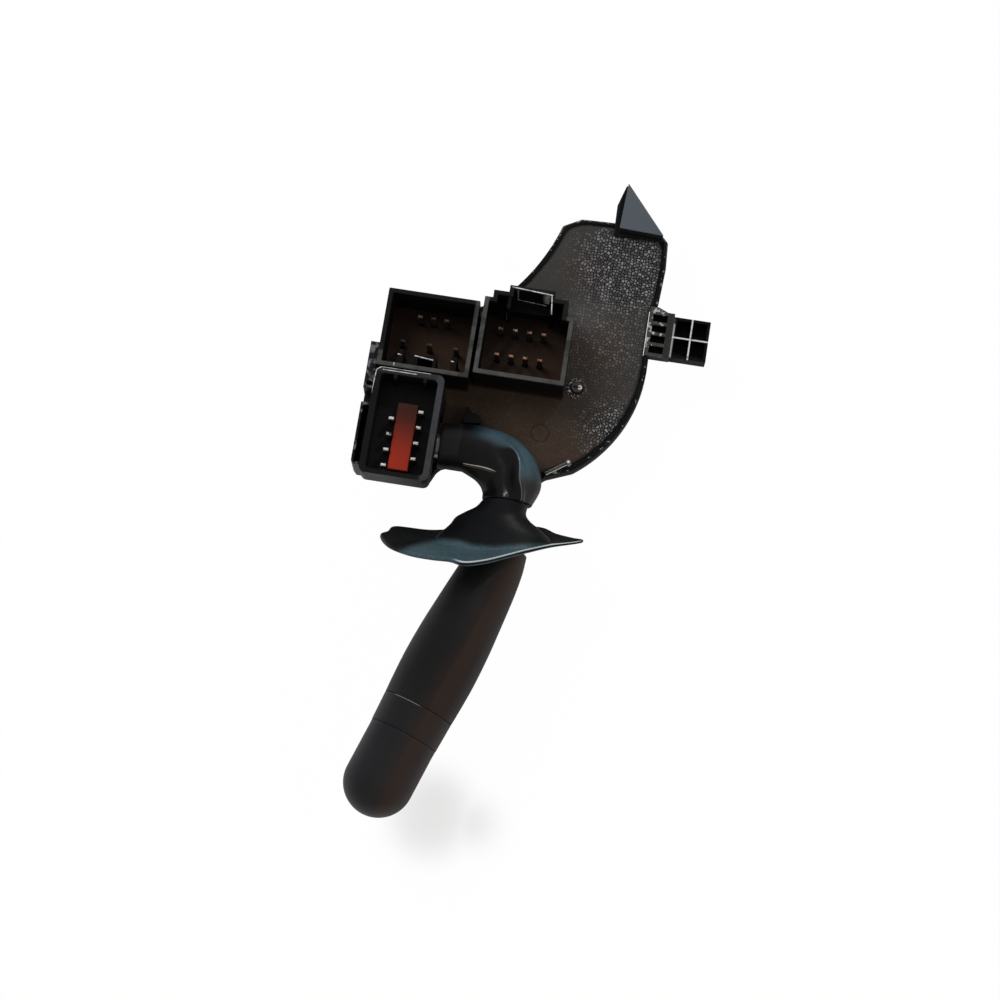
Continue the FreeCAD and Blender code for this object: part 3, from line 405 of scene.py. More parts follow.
def new_group(name, inputs, outputs):
    """Empty shader group with named sockets, and the outputs of its input node."""
    tree = bpy.data.node_groups.new(name, "ShaderNodeTree")
    for label, kind, value in inputs:
        socket = tree.interface.new_socket(label, in_out="INPUT", socket_type=kind)
        if value is not None:
            socket.default_value = value
    for label, kind in outputs:
        tree.interface.new_socket(label, in_out="OUTPUT", socket_type=kind)
    return tree, tree.nodes.new("NodeGroupInput").outputs, tree.nodes.new("NodeGroupOutput").inputs


def make_groups():
    """Effects that the materials share."""
    tree, given, result = new_group(
        "Leather grain", [("Place", "NodeSocketVector", None), ("Size", "NodeSocketFloat", 0.001),
                          ("Unevenness", "NodeSocketFloat", 0.35)], [("Height", "NodeSocketFloat")])
    s = Shader(tree, given["Place"])
    often = s.math("DIVIDE", 1.0, given["Size"])
    bend = s.add("TexNoise", {"Vector": given["Place"], "Scale": s.times(often, 0.6)}, out=1)
    bent = s.add("VectorMath", {0: bend, 1: (0.5, 0.5, 0.5)}, operation="SUBTRACT")
    shift = s.add("VectorMath", {0: bent, "Scale": s.times(given["Size"], given["Unevenness"])},
                  operation="SCALE")
    moved = s.add("VectorMath", {0: given["Place"], 1: shift}, operation="ADD")
    cells = s.add("TexVoronoi", {"Vector": moved, "Scale": often, "Randomness": 0.9},
                  feature="DISTANCE_TO_EDGE")
    pebble = s.step(cells, 0.0, 0.35)
    fine = s.noise(s.times(often, 4.0), 2.0)
    tree.links.new(s.plus(pebble, s.times(fine, 0.25)), result["Height"])

    tree, given, result = new_group(
        "Edge wear", [("Place", "NodeSocketVector", None), ("Amount", "NodeSocketFloat", 0.5)],
        [("Mask", "NodeSocketFloat")])
    s = Shader(tree, given["Place"])
    sharp = s.add("NewGeometry", out=7)
    edge = s.step(sharp, 0.53, 0.62)
    broken = s.step(s.noise(900, 4.0, 0.7), 0.35, 0.65)
    tree.links.new(s.times(s.times(edge, broken), given["Amount"]), result["Mask"])

    tree, given, result = new_group(
        "Dust", [("Place", "NodeSocketVector", None), ("Amount", "NodeSocketFloat", 0.2)],
        [("Mask", "NodeSocketFloat")])
    s = Shader(tree, given["Place"])
    haze = s.step(s.noise(120, 5.0, 0.65), 0.45, 0.75)
    specks = s.step(s.noise(2600, 2.0), 0.68, 0.74)
    both = s.plus(s.times(haze, 0.5), s.times(specks, 0.6), clamp=True)
    tree.links.new(s.times(both, given["Amount"]), result["Mask"])


def plastic(name, tint, rough=0.5, shine=0.3, grain=0.0008, relief=0.15, wear=0.3, dust=0.15, worn_and_lit=(120, 120, 122),
            metallic=0.0, coat=0.0):
    """Moulded surface. tint is a colour, or a function of the shader that returns one; relief may be one too."""
    material = bpy.data.materials.new(name)
    material.use_nodes = True
    tree = material.node_tree
    s = Shader(tree)
    principled = tree.nodes["Principled BSDF"]
    s.locate()
    if callable(tint):
        colour = tint(s)
    else:
        colour = s.mix(s.noise(60), tint, tuple(c * 1.15 for c in tint))
    edge = s.group("Edge wear", {"Place": s.place, "Amount": wear})
    veil = s.group("Dust", {"Place": s.place, "Amount": dust})
    colour = s.mix(edge, colour, worn_and_lit)
    colour = s.mix(s.times(veil, 0.08), colour, (150, 150, 150))
    height = s.group("Leather grain", {"Place": s.place, "Size": grain})
    strength = relief(s) if callable(relief) else relief
    bump = s.add("Bump", {"Strength": strength, "Distance": grain * 0.35, "Height": height})
    uneven = s.plus(veil, s.minus(s.noise(35), 0.5))
    dull = s.plus(rough, s.times(uneven, 0.2))
    for key, value in (("Base Color", colour), ("Roughness", dull), ("Normal", bump)):
        tree.links.new(value, principled.inputs[key])
    principled.inputs["Specular IOR Level"].default_value = shine
    principled.inputs["Metallic"].default_value = metallic
    principled.inputs["Coat Weight"].default_value = coat
    principled.inputs["Coat Roughness"].default_value = 0.12
    return material


def plate_tint(s):
    """Brown near the neck, grey-brown above and to the right, painted highlights on the grain's tops and painted shade
    in its creases, a painted shade band along the edge, near black below the shoulder, and a painted highlight round
    the boss.
    """
    x, y, z = s.axes()
    cloud = s.noise(45, 4.0)
    warm = s.mix(cloud, (44, 33, 25), (62, 48, 37))
    cool = s.mix(cloud, (44, 42, 41), (62, 59, 57))
    far = s.plus(s.times(x, 0.75), y)
    colour = s.mix(s.step(far, 0.035, 0.085), warm, cool)
    for spot, radius, edge, tone in (((50, 40), 7, 8, (68, 52, 43)), ((17, 9), 7, 8, (36, 27, 20)),
                                     ((30, 12), 5, 9, (58, 46, 36)), ((45, 48), 4, 8, (80, 78, 77)),
                                     ((42, 63), 4, 7, (58, 46, 39))):
        colour = s.mix(s.times(s.near((*spot, PLATE_TOP), radius, edge), 0.8), colour, tone)
    shown = plate_relief(s)
    # Painted highlights on the tops of the grain's cells, lighter in patches, where the grain shows.
    flat = {"Vector": s.place, "Scale": 1050.0, "Randomness": 0.85}
    edges = s.add("TexVoronoi", flat, feature="DISTANCE_TO_EDGE", voronoi_dimensions="2D")
    tone = s.axes(s.add("TexVoronoi", flat, out=1, voronoi_dimensions="2D"))[0]
    patchy = s.step(s.noise(300), 0.30, 0.62, 0.6, 1.0)
    light = s.times(s.math("POWER", tone, 1.8), patchy)
    bump = s.mix(light, (66, 64, 63), (165, 165, 167))
    top = s.times(s.step(edges, 0.08, 0.26), shown)
    # Painted shade in the creases between the grain's cells.
    crease = s.times(s.fall(edges, 0.07, 0.22), shown)
    colour = s.mix(s.times(top, 0.8), colour, bump)
    colour = s.mix(s.times(crease, 0.95), colour, (10, 9, 9))
    rim = s.value("rim")
    ragged = s.plus(rim, s.times(s.minus(s.noise(420), 0.5), 0.0007))
    # Painted shade: a near black band just inside the rim along the hollow side and the round side, and a thin dark
    # line along the edge except at the top.
    painted_light_band = s.between(ragged, 0.0004, 0.0007, 0.0017, 0.0024)
    thin = s.times(s.fall(rim, 0.0013, 0.0016), s.step(y, 0.076, 0.070))
    dark = s.most(s.times(painted_light_band, s.value("painted_light_band")), thin)
    colour = s.mix(dark, colour, (7, 6, 6))
    flecks = s.times(s.step(s.noise(700, 2.0), 0.60, 0.66), s.fall(ragged, 0.0006, 0.0010))
    colour = s.mix(s.fall(z, 0.0150, 0.0166), colour, (14, 12, 11))
    colour = s.mix(s.times(flecks, s.step(z, 0.0162, 0.0168, 0.0, 0.8)), colour, (150, 150, 148))
    # Painted highlights: a pale speckled ring on the boss's left side and a white spot on the boss.
    ring = s.between(s.away((*BOSS, 17.6)), 0.0019, 0.0023, 0.0031, 0.0036)
    speckle = s.step(s.noise(1300, 2.0), 0.53, 0.60)
    left = s.step(x, 0.0452, 0.0475, 1.0, 0.15)
    colour = s.mix(s.times(s.times(ring, speckle), left), colour, (196, 194, 190))
    colour = s.mix(s.near((47.1, 25.9, 17.8), 0.75, 0.2), colour, (250, 250, 248))
    line = s.between(s.away((37, 10.5, PLATE_TOP)), 0.0024, 0.0026, 0.0028, 0.0030)
    return s.mix(s.times(line, 0.6), colour, (24, 18, 14))


def plate_relief(s):
    """Grain, with its painted highlights and crease shade, is strong on the upper part and by the round edge, and faint
    in the middle.
    """
    upper = s.near((56, 67, PLATE_TOP), 14, 8)
    lower = s.near((58, 15, PLATE_TOP), 7, 7)
    middle = s.times(s.near((54, 44, PLATE_TOP), 12, 12), 0.35)
    return s.plus(s.most(s.most(upper, lower), middle), 0.05, clamp=True)


def socket_tint(s):
    """Black walls, brown floor, rims grey towards the right and the bottom of each socket as painted light, and painted
    highlight lines on the rims.
    """
    x, y, z = s.axes()
    deep = s.mix(s.step(z, 0.0180, 0.0255), (30, 21, 16), (9, 9, 9))
    low = s.step(y, 0.046, 0.026)
    deep = s.mix(s.times(s.fall(z, 0.0186, 0.0192), low), deep, (54, 39, 30))
    fine = s.noise(300, 5.0)
    worn_and_lit = s.step(s.noise(160), 0.35, 0.6)
    grey = s.mix(fine, (44, 43, 42), (84, 83, 81))
    dark = s.mix(fine, (12, 12, 12), (24, 24, 24))
    # Painted light: the rims towards the right and the bottom are grey, broken into patches; the other rims stay dark.
    bottom = s.most(s.step(y, 0.0250, 0.0235), s.step(y, 0.0222, 0.0212))
    right = s.most(s.times(s.step(x, 0.0118, 0.0126), s.step(x, 0.0165, 0.0158)), s.step(x, 0.0395, 0.0405))
    shown = s.times(s.most(bottom, right, clamp=True), s.plus(worn_and_lit, 0.45, clamp=True))
    level = s.step(z, 0.0324, 0.0328)
    colour = s.mix(level, deep, s.mix(shown, dark, grey))
    # Pale painted highlight lines along the rim edges
    return s.mix(painted_highlight_lines(s, SOCKET_HIGHLIGHTS), colour, PAINTED_HIGHLIGHT)


def painted_highlight_lines(s, lines):
    """1 along the given painted highlight lines, broken up a little."""
    drawn = 0.0
    for start, end, half in lines:
        drawn = s.most(drawn, s.streak(start, end, half))
    return s.times(drawn, s.step(s.noise(500), 0.36, 0.50, 0.35, 0.95))


def lower_tint(s):
    """Black walls, darker lower down as painted shade, with a rim painted grey at the top and on the right as painted
    light.
    """
    x, y, z = s.axes()
    grey = s.mix(s.noise(260, 5.0), (34, 34, 35), (66, 66, 68))
    # Painted light: the rim is grey on the right and partly along the top.
    shown = s.most(s.step(x, 0.0040, 0.0056), s.step(y, 0.0150, 0.0162, 0.0, 0.6))
    rim = s.mix(shown, (11, 11, 12), grey)
    # Painted shade: the walls get darker lower down in the socket.
    wall = s.mix(s.step(z, 0.0325, 0.0400), (7, 8, 9), (17, 19, 21))
    colour = s.mix(s.step(z, 0.0403, 0.0407), wall, rim)
    # Pale painted highlight lines along the rim edges
    return s.mix(painted_highlight_lines(s, LOWER_HIGHLIGHTS), colour, PAINTED_HIGHLIGHT)


def rail_tint(s):
    """Black with pale patches on the tops of the rails as painted highlights."""
    z = s.axes()[2]
    lines = s.step(s.noise(420), 0.5, 0.6)
    # Painted highlights: pale patches on the rails' tops.
    top = s.times(s.step(z, 0.0302, 0.0309), lines)
    return s.mix(top, (12, 12, 13), (96, 98, 102))


def cell_tint(s):
    """Black block with pale painted highlight lines along the middle of its inner walls."""
    x, y, z = s.axes()
    broken = s.step(s.noise(330), 0.36, 0.50)
    # Painted highlights along the middle of the inner walls and along the left edge.
    cross = s.most(s.line(x, 78.0, 0.24), s.line(y, 46.9, 0.24))
    edge = s.times(s.step(x, 0.0730, 0.0727), 0.5)
    lines = s.times(s.most(cross, edge), broken)
    return s.mix(s.times(s.step(z, 0.0166, 0.0169), lines), (8, 8, 9), PAINTED_HIGHLIGHT)


def clip_tint(s):
    """Dark grey ribs with pale painted highlight lines on top, a grey spine, and black between."""
    x, _, z = s.axes()
    grey = s.mix(s.noise(380, 4.0), (34, 34, 34), (74, 74, 73))
    # Painted highlights: pale broken lines on the ribs' tops.
    lines = s.times(s.step(s.noise(520), 0.54, 0.60), s.step(x, 0.0698, 0.0692))
    top = s.mix(s.step(z, 0.0158, 0.0168), (9, 9, 9), s.mix(lines, grey, (170, 170, 166)))
    return s.mix(s.step(x, 0.0702, 0.0705), top, (40, 39, 38))


def pin_tint(s):
    """Dark pins with tips painted bright copper and white as highlights, brightest in the lower socket and dimmest in
    the left one.
    """
    x, _, z = s.axes()
    # Painted highlights on the pin tips: copper, and white higher up in the lower socket.
    tip = s.between(z, 0.0256, 0.0259, 0.027, 0.028)
    patchy = s.step(s.noise(420, 2.0), 0.42, 0.56)
    dim = s.times(s.times(tip, patchy), s.step(x, 0.013, 0.016, 0.22, 0.75))
    bright = s.mix(s.noise(700), (176, 98, 56), (232, 176, 128))
    colour = s.mix(dim, (26, 18, 14), bright)
    white = s.times(s.step(z, 0.0364, 0.0370), s.step(s.noise(420, 2.0), 0.30, 0.42))
    return s.mix(white, colour, s.mix(s.noise(500), (226, 214, 196), (255, 252, 244)))


def screw_tint(s):
    """Dull head of the boss's screw with one painted highlight spot."""
    # Painted highlight: one bright spot.
    spot = s.near((46.9, 26.0, 19.0), 0.7, 0.2)
    return s.mix(spot, s.mix(s.noise(500), (16, 15, 14), (46, 44, 42)), (250, 250, 248))


def rod_tint(s):
    """Steel rod, dark along its middle, with painted highlights along its edges and at its end."""
    x, _, z = s.axes()
    core = s.mix(s.noise(600), (24, 22, 21), (70, 68, 66))
    # Painted highlights: a bright spot at the end and a bright lower edge.
    head = s.mix(s.near((46.9, 2.6, 18.3), 0.35, 0.2), (60, 58, 56), (235, 235, 233))
    top = s.mix(s.step(x, 0.0460, 0.0464), core, head)
    return s.mix(s.step(z, 0.01780, 0.01800), (222, 222, 220), top)


def neck_tint(s):
    """Painted shadow along the upper contour, a painted blue-grey sheen on the outer band, a grey panel at the start,
    near black painted shade inside the crest, a painted highlight along the crest and a painted slot with highlighted
    lips.
    """
    around, start = s.value("around"), s.value("start")
    # Painted light: the outer band is a blue-grey painted sheen, the inside is near black painted shade, and further on
    # the band turns brown-grey.
    blue = s.mix(s.noise(110, 4.0), (22, 35, 43), (72, 95, 106))
    inside = (11, 11, 12)
    outside = s.fall(s.value("crest"), -0.0004, s.step(start, 0.40, 0.50, 0.0034, 0.0005))
    painted_light_band = s.times(outside, s.step(start, 0.20, 0.34))
    colour = s.mix(painted_light_band, inside, blue)
    colour = s.mix(s.step(start, 0.66, 0.84), colour, s.mix(painted_light_band, (8, 8, 9), (42, 39, 37)))
    panel = s.times(s.fall(around, 0.66, 0.72), s.fall(start, 0.155, 0.17))
    colour = s.mix(panel, colour, s.mix(s.noise(60, 4.0), (24, 25, 26), (33, 34, 35)))
    # Painted shadow in the gap between the neck and the plate, along the upper contour.
    painted_gap_shadow = s.times(s.fall(around, 0.05, 0.13), s.step(start, 0.22, 0.40, 1.0, 0.25))
    colour = s.mix(painted_gap_shadow, colour, (6, 6, 7))
    # Painted highlight: a thin grey line along the crest.
    crest = s.times(s.line(s.value("crest"), 0.0, 0.16), s.step(start, 0.42, 0.5))
    colour = s.mix(s.times(crest, 0.4), colour, (112, 112, 114))
    # Painted slot: a black line with a pale painted highlight on its upper lip and a brown one on its lower lip.
    below = s.minus(s.plus(around, s.times(start, 0.47)), 0.908)
    along = s.between(start, 0.22, 0.24, 0.48, 0.60)
    slot = s.times(along, s.fall(s.absolute(below), 0.022, 0.03))
    colour = s.mix(slot, colour, (4, 4, 5))
    upper = s.fall(s.absolute(s.plus(below, 0.012)), 0.004, 0.010)
    lower = s.fall(s.absolute(s.minus(below, 0.016)), 0.004, 0.010)
    colour = s.mix(s.times(along, upper), colour, (176, 170, 162))
    return s.mix(s.times(s.times(along, lower), 0.8), colour, (84, 72, 58))


def shield_tint(s):
    """Speckled painted teal sheen on the lower lobe, near black on the flare and the upper side, painted shade on the
    lower edge's rim and a pale painted highlight line along that edge.
    """
    lobe, inset = s.value("lobe"), s.value("inset")
    speck = s.noise(1100, 2.0)
    deep = s.mix(speck, (30, 44, 50), (66, 86, 92))
    light = s.mix(speck, (48, 66, 72), (92, 114, 120))
    # Painted sheen: speckled teal on the lower lobe.
    teal_sheen = s.mix(s.noise(90), deep, light)
    dark = s.mix(s.noise(60), (8, 8, 9), (19, 20, 22))
    colour = s.mix(s.step(lobe, 0.0, 1.0), dark, teal_sheen)
    # Painted shade: a dark line along the middle of the lower edge's rim.
    under = s.times(s.line(inset, -0.72, 0.36), s.value("lower"))
    colour = s.mix(under, colour, (8, 9, 10))
    # Painted highlight: a pale line along the lower edge.
    edge = s.times(s.line(inset, 0.05, 0.42), s.value("lower"))
    return s.mix(s.times(edge, 0.85), colour, (196, 204, 208))


def handle_tint(s):
    """Painted light: cool near-black on the left and warm brown-black on the right, lighter towards the end, a painted
    warm sheen on the right and a painted highlight on the seam.
    """
    side, along = s.value("side"), s.value("along")
    # Painted light: cool on the left, warm bounce light on the right.
    soft = s.plus(side, s.times(s.minus(s.noise(30), 0.5), 0.5))
    start = s.mix(s.step(soft, -0.1, 0.5), (17, 17, 18), (30, 23, 19))
    end = s.mix(s.step(soft, -0.2, 0.5), (27, 27, 29), (38, 31, 29))
    colour = s.mix(s.step(along, 20.0, 62.0), start, end)
    # Painted warm sheen along the right side.
    warm_sheen = s.between(soft, 0.30, 0.55, 0.70, 0.95)
    colour = s.mix(s.times(warm_sheen, 0.6), colour, (50, 36, 29))
    # Painted highlight along the seam, on the left side.
    seam = s.times(s.fall(s.absolute(s.minus(along, 41.95)), 0.1, 0.2), s.between(side, -0.75, -0.6, 0.0, 0.2))
    return s.mix(s.times(seam, 0.7), colour, (120, 112, 106))


def fin_tint(s):
    """Slate blue, with black painted shade along its foot."""
    z = s.axes()[2]
    slate = s.mix(s.noise(90, 4.0), (66, 73, 79), (78, 85, 91))
    # Painted shade: black along the foot of the fin.
    return s.mix(s.step(z, 0.0214, 0.0218), (14, 15, 17), slate)


def red_tint(s):
    """Red that darkens towards the lower end."""
    y = s.axes()[1]
    return s.mix(s.step(y, -0.012, 0.007), (150, 40, 18), (54, 21, 14))


# Pieces

def plate_outline():
    """Outline of the plate, counter-clockwise from its lower left corner."""
    return np.vstack([FOOT, arc_through(*ROUND_SIDE), FLANK, arc_through(*HOLLOW_SIDE), HEAD])


def round_over(top, radius):
    """Quarter circle from a wall to a level top, as (inset, height) pairs."""
    return [(radius * (1 - math.cos(a)), top - radius * (1 - math.sin(a))) for a in np.linspace(0, math.pi / 2, 5)]


def build_housing(settings):
    """Plate with its rim and case wall: rings of the outline, then rings that shrink towards a point inside."""
    columns = 900
    outline = plate_outline()
    groove, top = settings.groove / MM, PLATE_TOP
    low, high = WINDOW_HEIGHTS
    profile = [(2.6, 2.5), (2.6, low), (2.6, high), (2.6, 11.0), (0.25, 11.0), (0.0, 11.25), (0.0, 14.0)]
    profile += round_over(top, settings.shoulder / MM)
    profile += [(1.35, top), (1.55, top - groove), (2.25, top - groove), (2.45, top), (3.0, top)]
    rings = shelled(outline, profile, columns)
    notch = (rings[..., 1] > CLIP_NOTCH[0]) & (rings[..., 1] < CLIP_NOTCH[1])
    rings[..., 0] = np.where(notch, np.minimum(rings[..., 0], NOTCH_EDGE), rings[..., 0])
    shrink = np.linspace(1, 0, 26)[1:]
    centre = np.array([*SEEN_FROM, top])
    inner = centre + (rings[-1] - centre)[None] * np.maximum(shrink, 1e-4)[:, None, None]
    grid = np.concatenate([rings, inner])
    under_neck = ease((grid[..., 0] - UNDER_NECK[0]) / 1.2) * ease((UNDER_NECK[1] - grid[..., 0]) / 1.2)
    bevel = BEVEL_DEPTH * np.clip(1 - (grid[..., 1] - BEVEL_START) / BEVEL_WIDTH, 0, 1) * under_neck
    grid[..., 2] = np.minimum(grid[..., 2], top - bevel)
    points, quads = surface(grid)
    rows = grid.shape[0]
    corner = points[quads].mean(1)
    away = np.hypot(corner[:, 0] - WINDOW[0], corner[:, 1] - WINDOW[1])
    open_side = (away < WINDOW_RADIUS) & (corner[:, 2] > low) & (corner[:, 2] < high) & (corner[:, 0] < 36)
    quads = quads[~open_side]
    inset = np.concatenate([[p[0] for p in profile], 3.0 + 40.0 * (1 - shrink)])
    rim = np.broadcast_to(inset[:, None], (rows, columns)).ravel() * MM
    # Strength of the painted shade band along the edge, by the way the edge faces: strong along the hollow side and the
    # round side.
    facing = inward(evenly(outline, columns, 3.0)) @ np.array([[-0.9, 0.75], [0.44, -0.66]])
    dark = np.clip(ease(facing[:, 0] * 2.2) + ease(facing[:, 1] * 2.2), 0, 1)
    painted_light_band = np.broadcast_to(dark[None], (rows, columns)).ravel()
    boss = [(1.9, -0.2), (1.9, 0.55), (2.0, 0.75), (2.2, 0.8), (2.7, 0.8), (2.9, 0.7), (3.0, 0.5), (3.05, -0.1)]
    parts = [(points, quads), surface(turned(boss, (*BOSS, top), (0, 0, 1), (1, 0, 0), 48))]
    all_points, all_quads = joined(parts)
    extra = len(all_points) - len(points)
    values = {"rim": np.concatenate([rim, np.full(extra, 0.03)]), "painted_light_band": np.concatenate([painted_light_band, np.zeros(extra)])}
    material = plastic("Grained housing", plate_tint, rough=0.6, shine=0.12, grain=settings.grain,
                       relief=lambda s: s.times(plate_relief(s), settings.relief), wear=0.2, dust=0.3)
    shell = make_piece("housing_shell", all_points, all_quads, material, "housing", values=values)
    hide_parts("main_housing")


def neck_grid(crest, count=72, columns=96):
    """Cross-sections of the neck: c + w x across + h z up, with x = cos t and z = sin t pushed out into a crest.

    The crest adds crest exp(-((t - t0) / 0.16)^2) to the radius, and a crease beside it takes 0.8 of that away.
    """
    x, y, heading, half_w, half_h = spline(NECK, count, closed=False).T
    a = np.radians(heading)
    across = np.stack([-np.sin(a), np.cos(a), np.zeros(count)], 1)
    t = np.arange(columns) / columns * math.tau
    start = np.linspace(0, 1, count)
    t0 = np.radians(54 + 23 * np.exp(-(((start - 0.76) / 0.21) ** 2)))
    shown = ease((start - 0.35) / 0.25)
    ridge = crest * shown[:, None] * np.exp(-(((t[None] - t0[:, None]) / 0.16) ** 2))
    crease = 0.8 * crest * shown[:, None] * np.exp(-(((t[None] - t0[:, None] - 0.42) / 0.22) ** 2))
    flat = 1 - 0.10 * np.clip(np.cos(t), None, 0)[None] ** 2 * np.clip(np.sin(t), 0, None)[None]
    out = (ridge - crease)[..., None]
    ring = np.cos(t)[None, :, None] * across[:, None] * (half_w[:, None] * flat)[..., None]
    ring = ring + np.sin(t)[None, :, None] * np.array([0, 0, 1.0]) * (half_h[:, None] * flat)[..., None]
    grid = np.stack([x, y, np.full(count, LEVER_HEIGHT)], 1)[:, None] + ring + unit(ring) * out
    around = np.broadcast_to(np.minimum(t, math.tau - t)[None] / math.pi, (count, columns))
    from_crest = (t[None] - t0[:, None]) * half_w[:, None] * MM
    return grid, around, from_crest


def build_neck(settings):
    """Cranked neck: lofted cross-sections closed by a rounded lip at each end."""
    grid, around, from_crest = neck_grid(settings.crest / MM)
    middle = grid.mean(1, keepdims=True)
    lips = []
    for row, ahead in ((0, 1), (-1, -1)):
        outward = unit(middle[row] - middle[row + ahead])
        for shrink, push in ((0.985, 0.12), (0.95, 0.2), (0.80, 0.15), (0.60, -0.4)):
            lips.append((middle[row] + (grid[row] - middle[row]) * shrink + outward * push)[None])
    full = np.concatenate(lips[3::-1] + [grid] + lips[4:])
    around, from_crest = (np.pad(v, ((4, 4), (0, 0)), mode="edge") for v in (around, from_crest))
    start = np.concatenate([np.zeros(4), np.linspace(0, 1, len(grid)), np.ones(4)])
    start = np.broadcast_to(start[:, None], around.shape)
    points, quads = surface(full)
    material = plastic("Polished neck", neck_tint, rough=0.34, shine=0.16, grain=0.0006, relief=0.02, wear=0.0,
                       dust=0.05, coat=0.06)
    neck = make_piece("neck_shells", points, quads, material, "lever",
                      values={"around": around.ravel(), "start": start.ravel(), "crest": from_crest.ravel()})
    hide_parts("neck_upper", "neck_lower")


def shield_frame():
    """Long axis, direction across and normal of the shield's plane."""
    turn, tilt = math.radians(7.3), math.radians(30.0)
    long_axis = np.array([math.cos(turn), math.sin(turn), 0])
    level = np.array([-math.sin(turn), math.cos(turn), 0])
    normal = level * math.cos(tilt) + np.array([0, 0, math.sin(tilt)])
    return long_axis, np.cross(normal, long_axis), normal


def on_dish(a, b, radius, depth):
    """Points (a, b) of the shield on its dish of radius R.

    p = centre + a long + b across + (R - sqrt((R - depth)^2 - a^2 - b^2)) normal
    """
    long_axis, across, normal = shield_frame()
    rise = radius - np.sqrt((radius - depth) ** 2 - a**2 - b**2)
    return DISH_CENTRE + a[..., None] * long_axis + b[..., None] * across + rise[..., None] * normal


def within_edge(a, b, edge, core, margin):
    """Moves (a, b) towards the core until it is inside the edge by the margin; the edge is seen whole from the core."""
    out = edge - core
    angle = np.arctan2(out[:, 1], out[:, 0])
    order = np.argsort(angle)
    limit = np.linalg.norm(out, axis=1)[order] - margin
    there = np.arctan2(b - core[1], a - core[0])
    most = np.interp(there, angle[order], limit, period=math.tau)
    away = np.hypot(a - core[0], b - core[1])
    keep = np.minimum(1, most / np.maximum(away, 1e-6))
    return core[0] + (a - core[0]) * keep, core[1] + (b - core[1]) * keep


def build_shield(settings):
    """Flare from the neck's end to the dish, the dish's face out to its edge, a rounded rim, and the dish's back.

    The flare's rings are ellipses (x + w cos t, z + h sin t) over its stations, and each line of the grid stops
    where it meets the face of the dish.
    """
    columns = 240
    radius, depth = settings.dish / MM, settings.thickness / MM
    core = np.array([-2.0, 3.0])
    edge = spline(SHIELD_EDGE, columns)
    long_axis, across, normal = shield_frame()
    ball = DISH_CENTRE + normal * radius
    t = -np.arctan2(edge[:, 1] - core[1], edge[:, 0] - core[0])
    x, y, half_w, half_h = spline(FLARE, 400, closed=False).T[..., None]
    tube = np.stack([x + half_w * np.cos(t), np.broadcast_to(y, (400, columns)), LEVER_HEIGHT + half_h * np.sin(t)], -1)
    meets = np.argmax(np.linalg.norm(tube - ball, axis=-1) > radius - depth, axis=0)
    steps = (np.linspace(0, 1, 40)[:, None] * meets[None]).astype(int)
    throat = tube[steps, np.arange(columns)[None]]
    a, b = (throat - DISH_CENTRE) @ long_axis, (throat - DISH_CENTRE) @ across
    inside_a, inside_b = within_edge(a, b, edge, core, 0.5)
    throat = throat + (inside_a - a)[..., None] * long_axis + (inside_b - b)[..., None] * across
    hub = np.stack([inside_a[-1], inside_b[-1]], -1)
    reach = np.linspace(0, 1, 40)[1:]
    plane = hub[None] + (edge - hub)[None] * reach[:, None, None]
    thick = depth * (1 - 0.45 * ease((plane[..., 0] - 8) / 18))
    face = on_dish(plane[..., 0], plane[..., 1], radius, thick)
    out = unit(edge - core)
    rim = []
    down = np.linspace(0.15, 0.85, 4)
    for k in down:
        bulged = edge + out * (0.25 * math.sin(math.pi * k))
        rim.append(on_dish(bulged[:, 0], bulged[:, 1], radius, thick[-1] * (1 - k))[None])
    spread = np.linspace(1, 0.02, 24)[:, None, None]
    plane = core + (edge - core)[None] * spread
    back = on_dish(plane[..., 0], plane[..., 1], radius, 0.0)
    grid = np.concatenate([throat, face] + rim + [back])
    points, quads = surface(grid)
    relative = grid - DISH_CENTRE
    a, b = relative @ long_axis, relative @ across
    seen = grid - VIEW_CENTRE
    level, height = seen @ VIEW_RIGHT, seen @ VIEW_UP
    # Where the painted teal sheen shows: below its upper edge as seen in the view, fading out to the left.
    lobe = ease((np.interp(level, *np.array(TEAL_SHEEN_TOP).T) - height) / 3.2 + 0.2) * ease((level + 8) / 9)
    lower = ease((a + 11) / 3.0) * ease(-b + 1)
    to_edge = np.linalg.norm(edge - hub, axis=1)[None] * (1 - reach[:, None])
    inset = np.concatenate([np.full_like(level[: len(throat)], 9), to_edge, -np.outer(down * depth, np.ones(columns)),
                            np.full_like(level[-len(back) :], -9)])
    material = plastic("Shield", shield_tint, rough=0.42, shine=0.1, grain=0.0005, relief=0.06, wear=0.0, dust=0.1)
    shield = make_piece("finger_shield", points, quads, material, "lever",
                        values={"lobe": lobe.ravel(), "inset": inset.ravel() * MM, "lower": lower.ravel()})
    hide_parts("shield")


def behind_dish(points, radius):
    """Slides points along the handle until they lie on or behind the back of the dish."""
    away = points - (DISH_CENTRE + shield_frame()[2] * radius)
    along = away @ HANDLE_AXIS
    short = (away**2).sum(-1) - radius**2
    slide = -along + np.sqrt(np.maximum(along**2 - short, 0))
    return points + np.where(short < 0, slide, 0)[..., None] * HANDLE_AXIS


def rolled(radius, place, seam, way):
    """Rounded edge from a flat end at a place along the handle to its side; way is +1 if the side lies further on."""
    return [(radius - seam, place), (radius - seam * 0.3, place + way * seam * 0.3), (radius, place + way * seam)]


def handle_piece(name, profile, material, body, node, dish):
    """Revolved piece of the handle, kept behind the dish, with attributes across and along it."""
    grid = behind_dish(turned(profile, HANDLE, HANDLE_AXIS, HANDLE_SIDE, 128), dish + DISH_GAP)
    points, quads = surface(grid)
    relative = points - HANDLE
    along, across = relative @ HANDLE_AXIS, relative @ HANDLE_SIDE
    piece = make_piece(name, points, quads, material, body, values={"side": across / 10.5, "along": along})
    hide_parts(node)


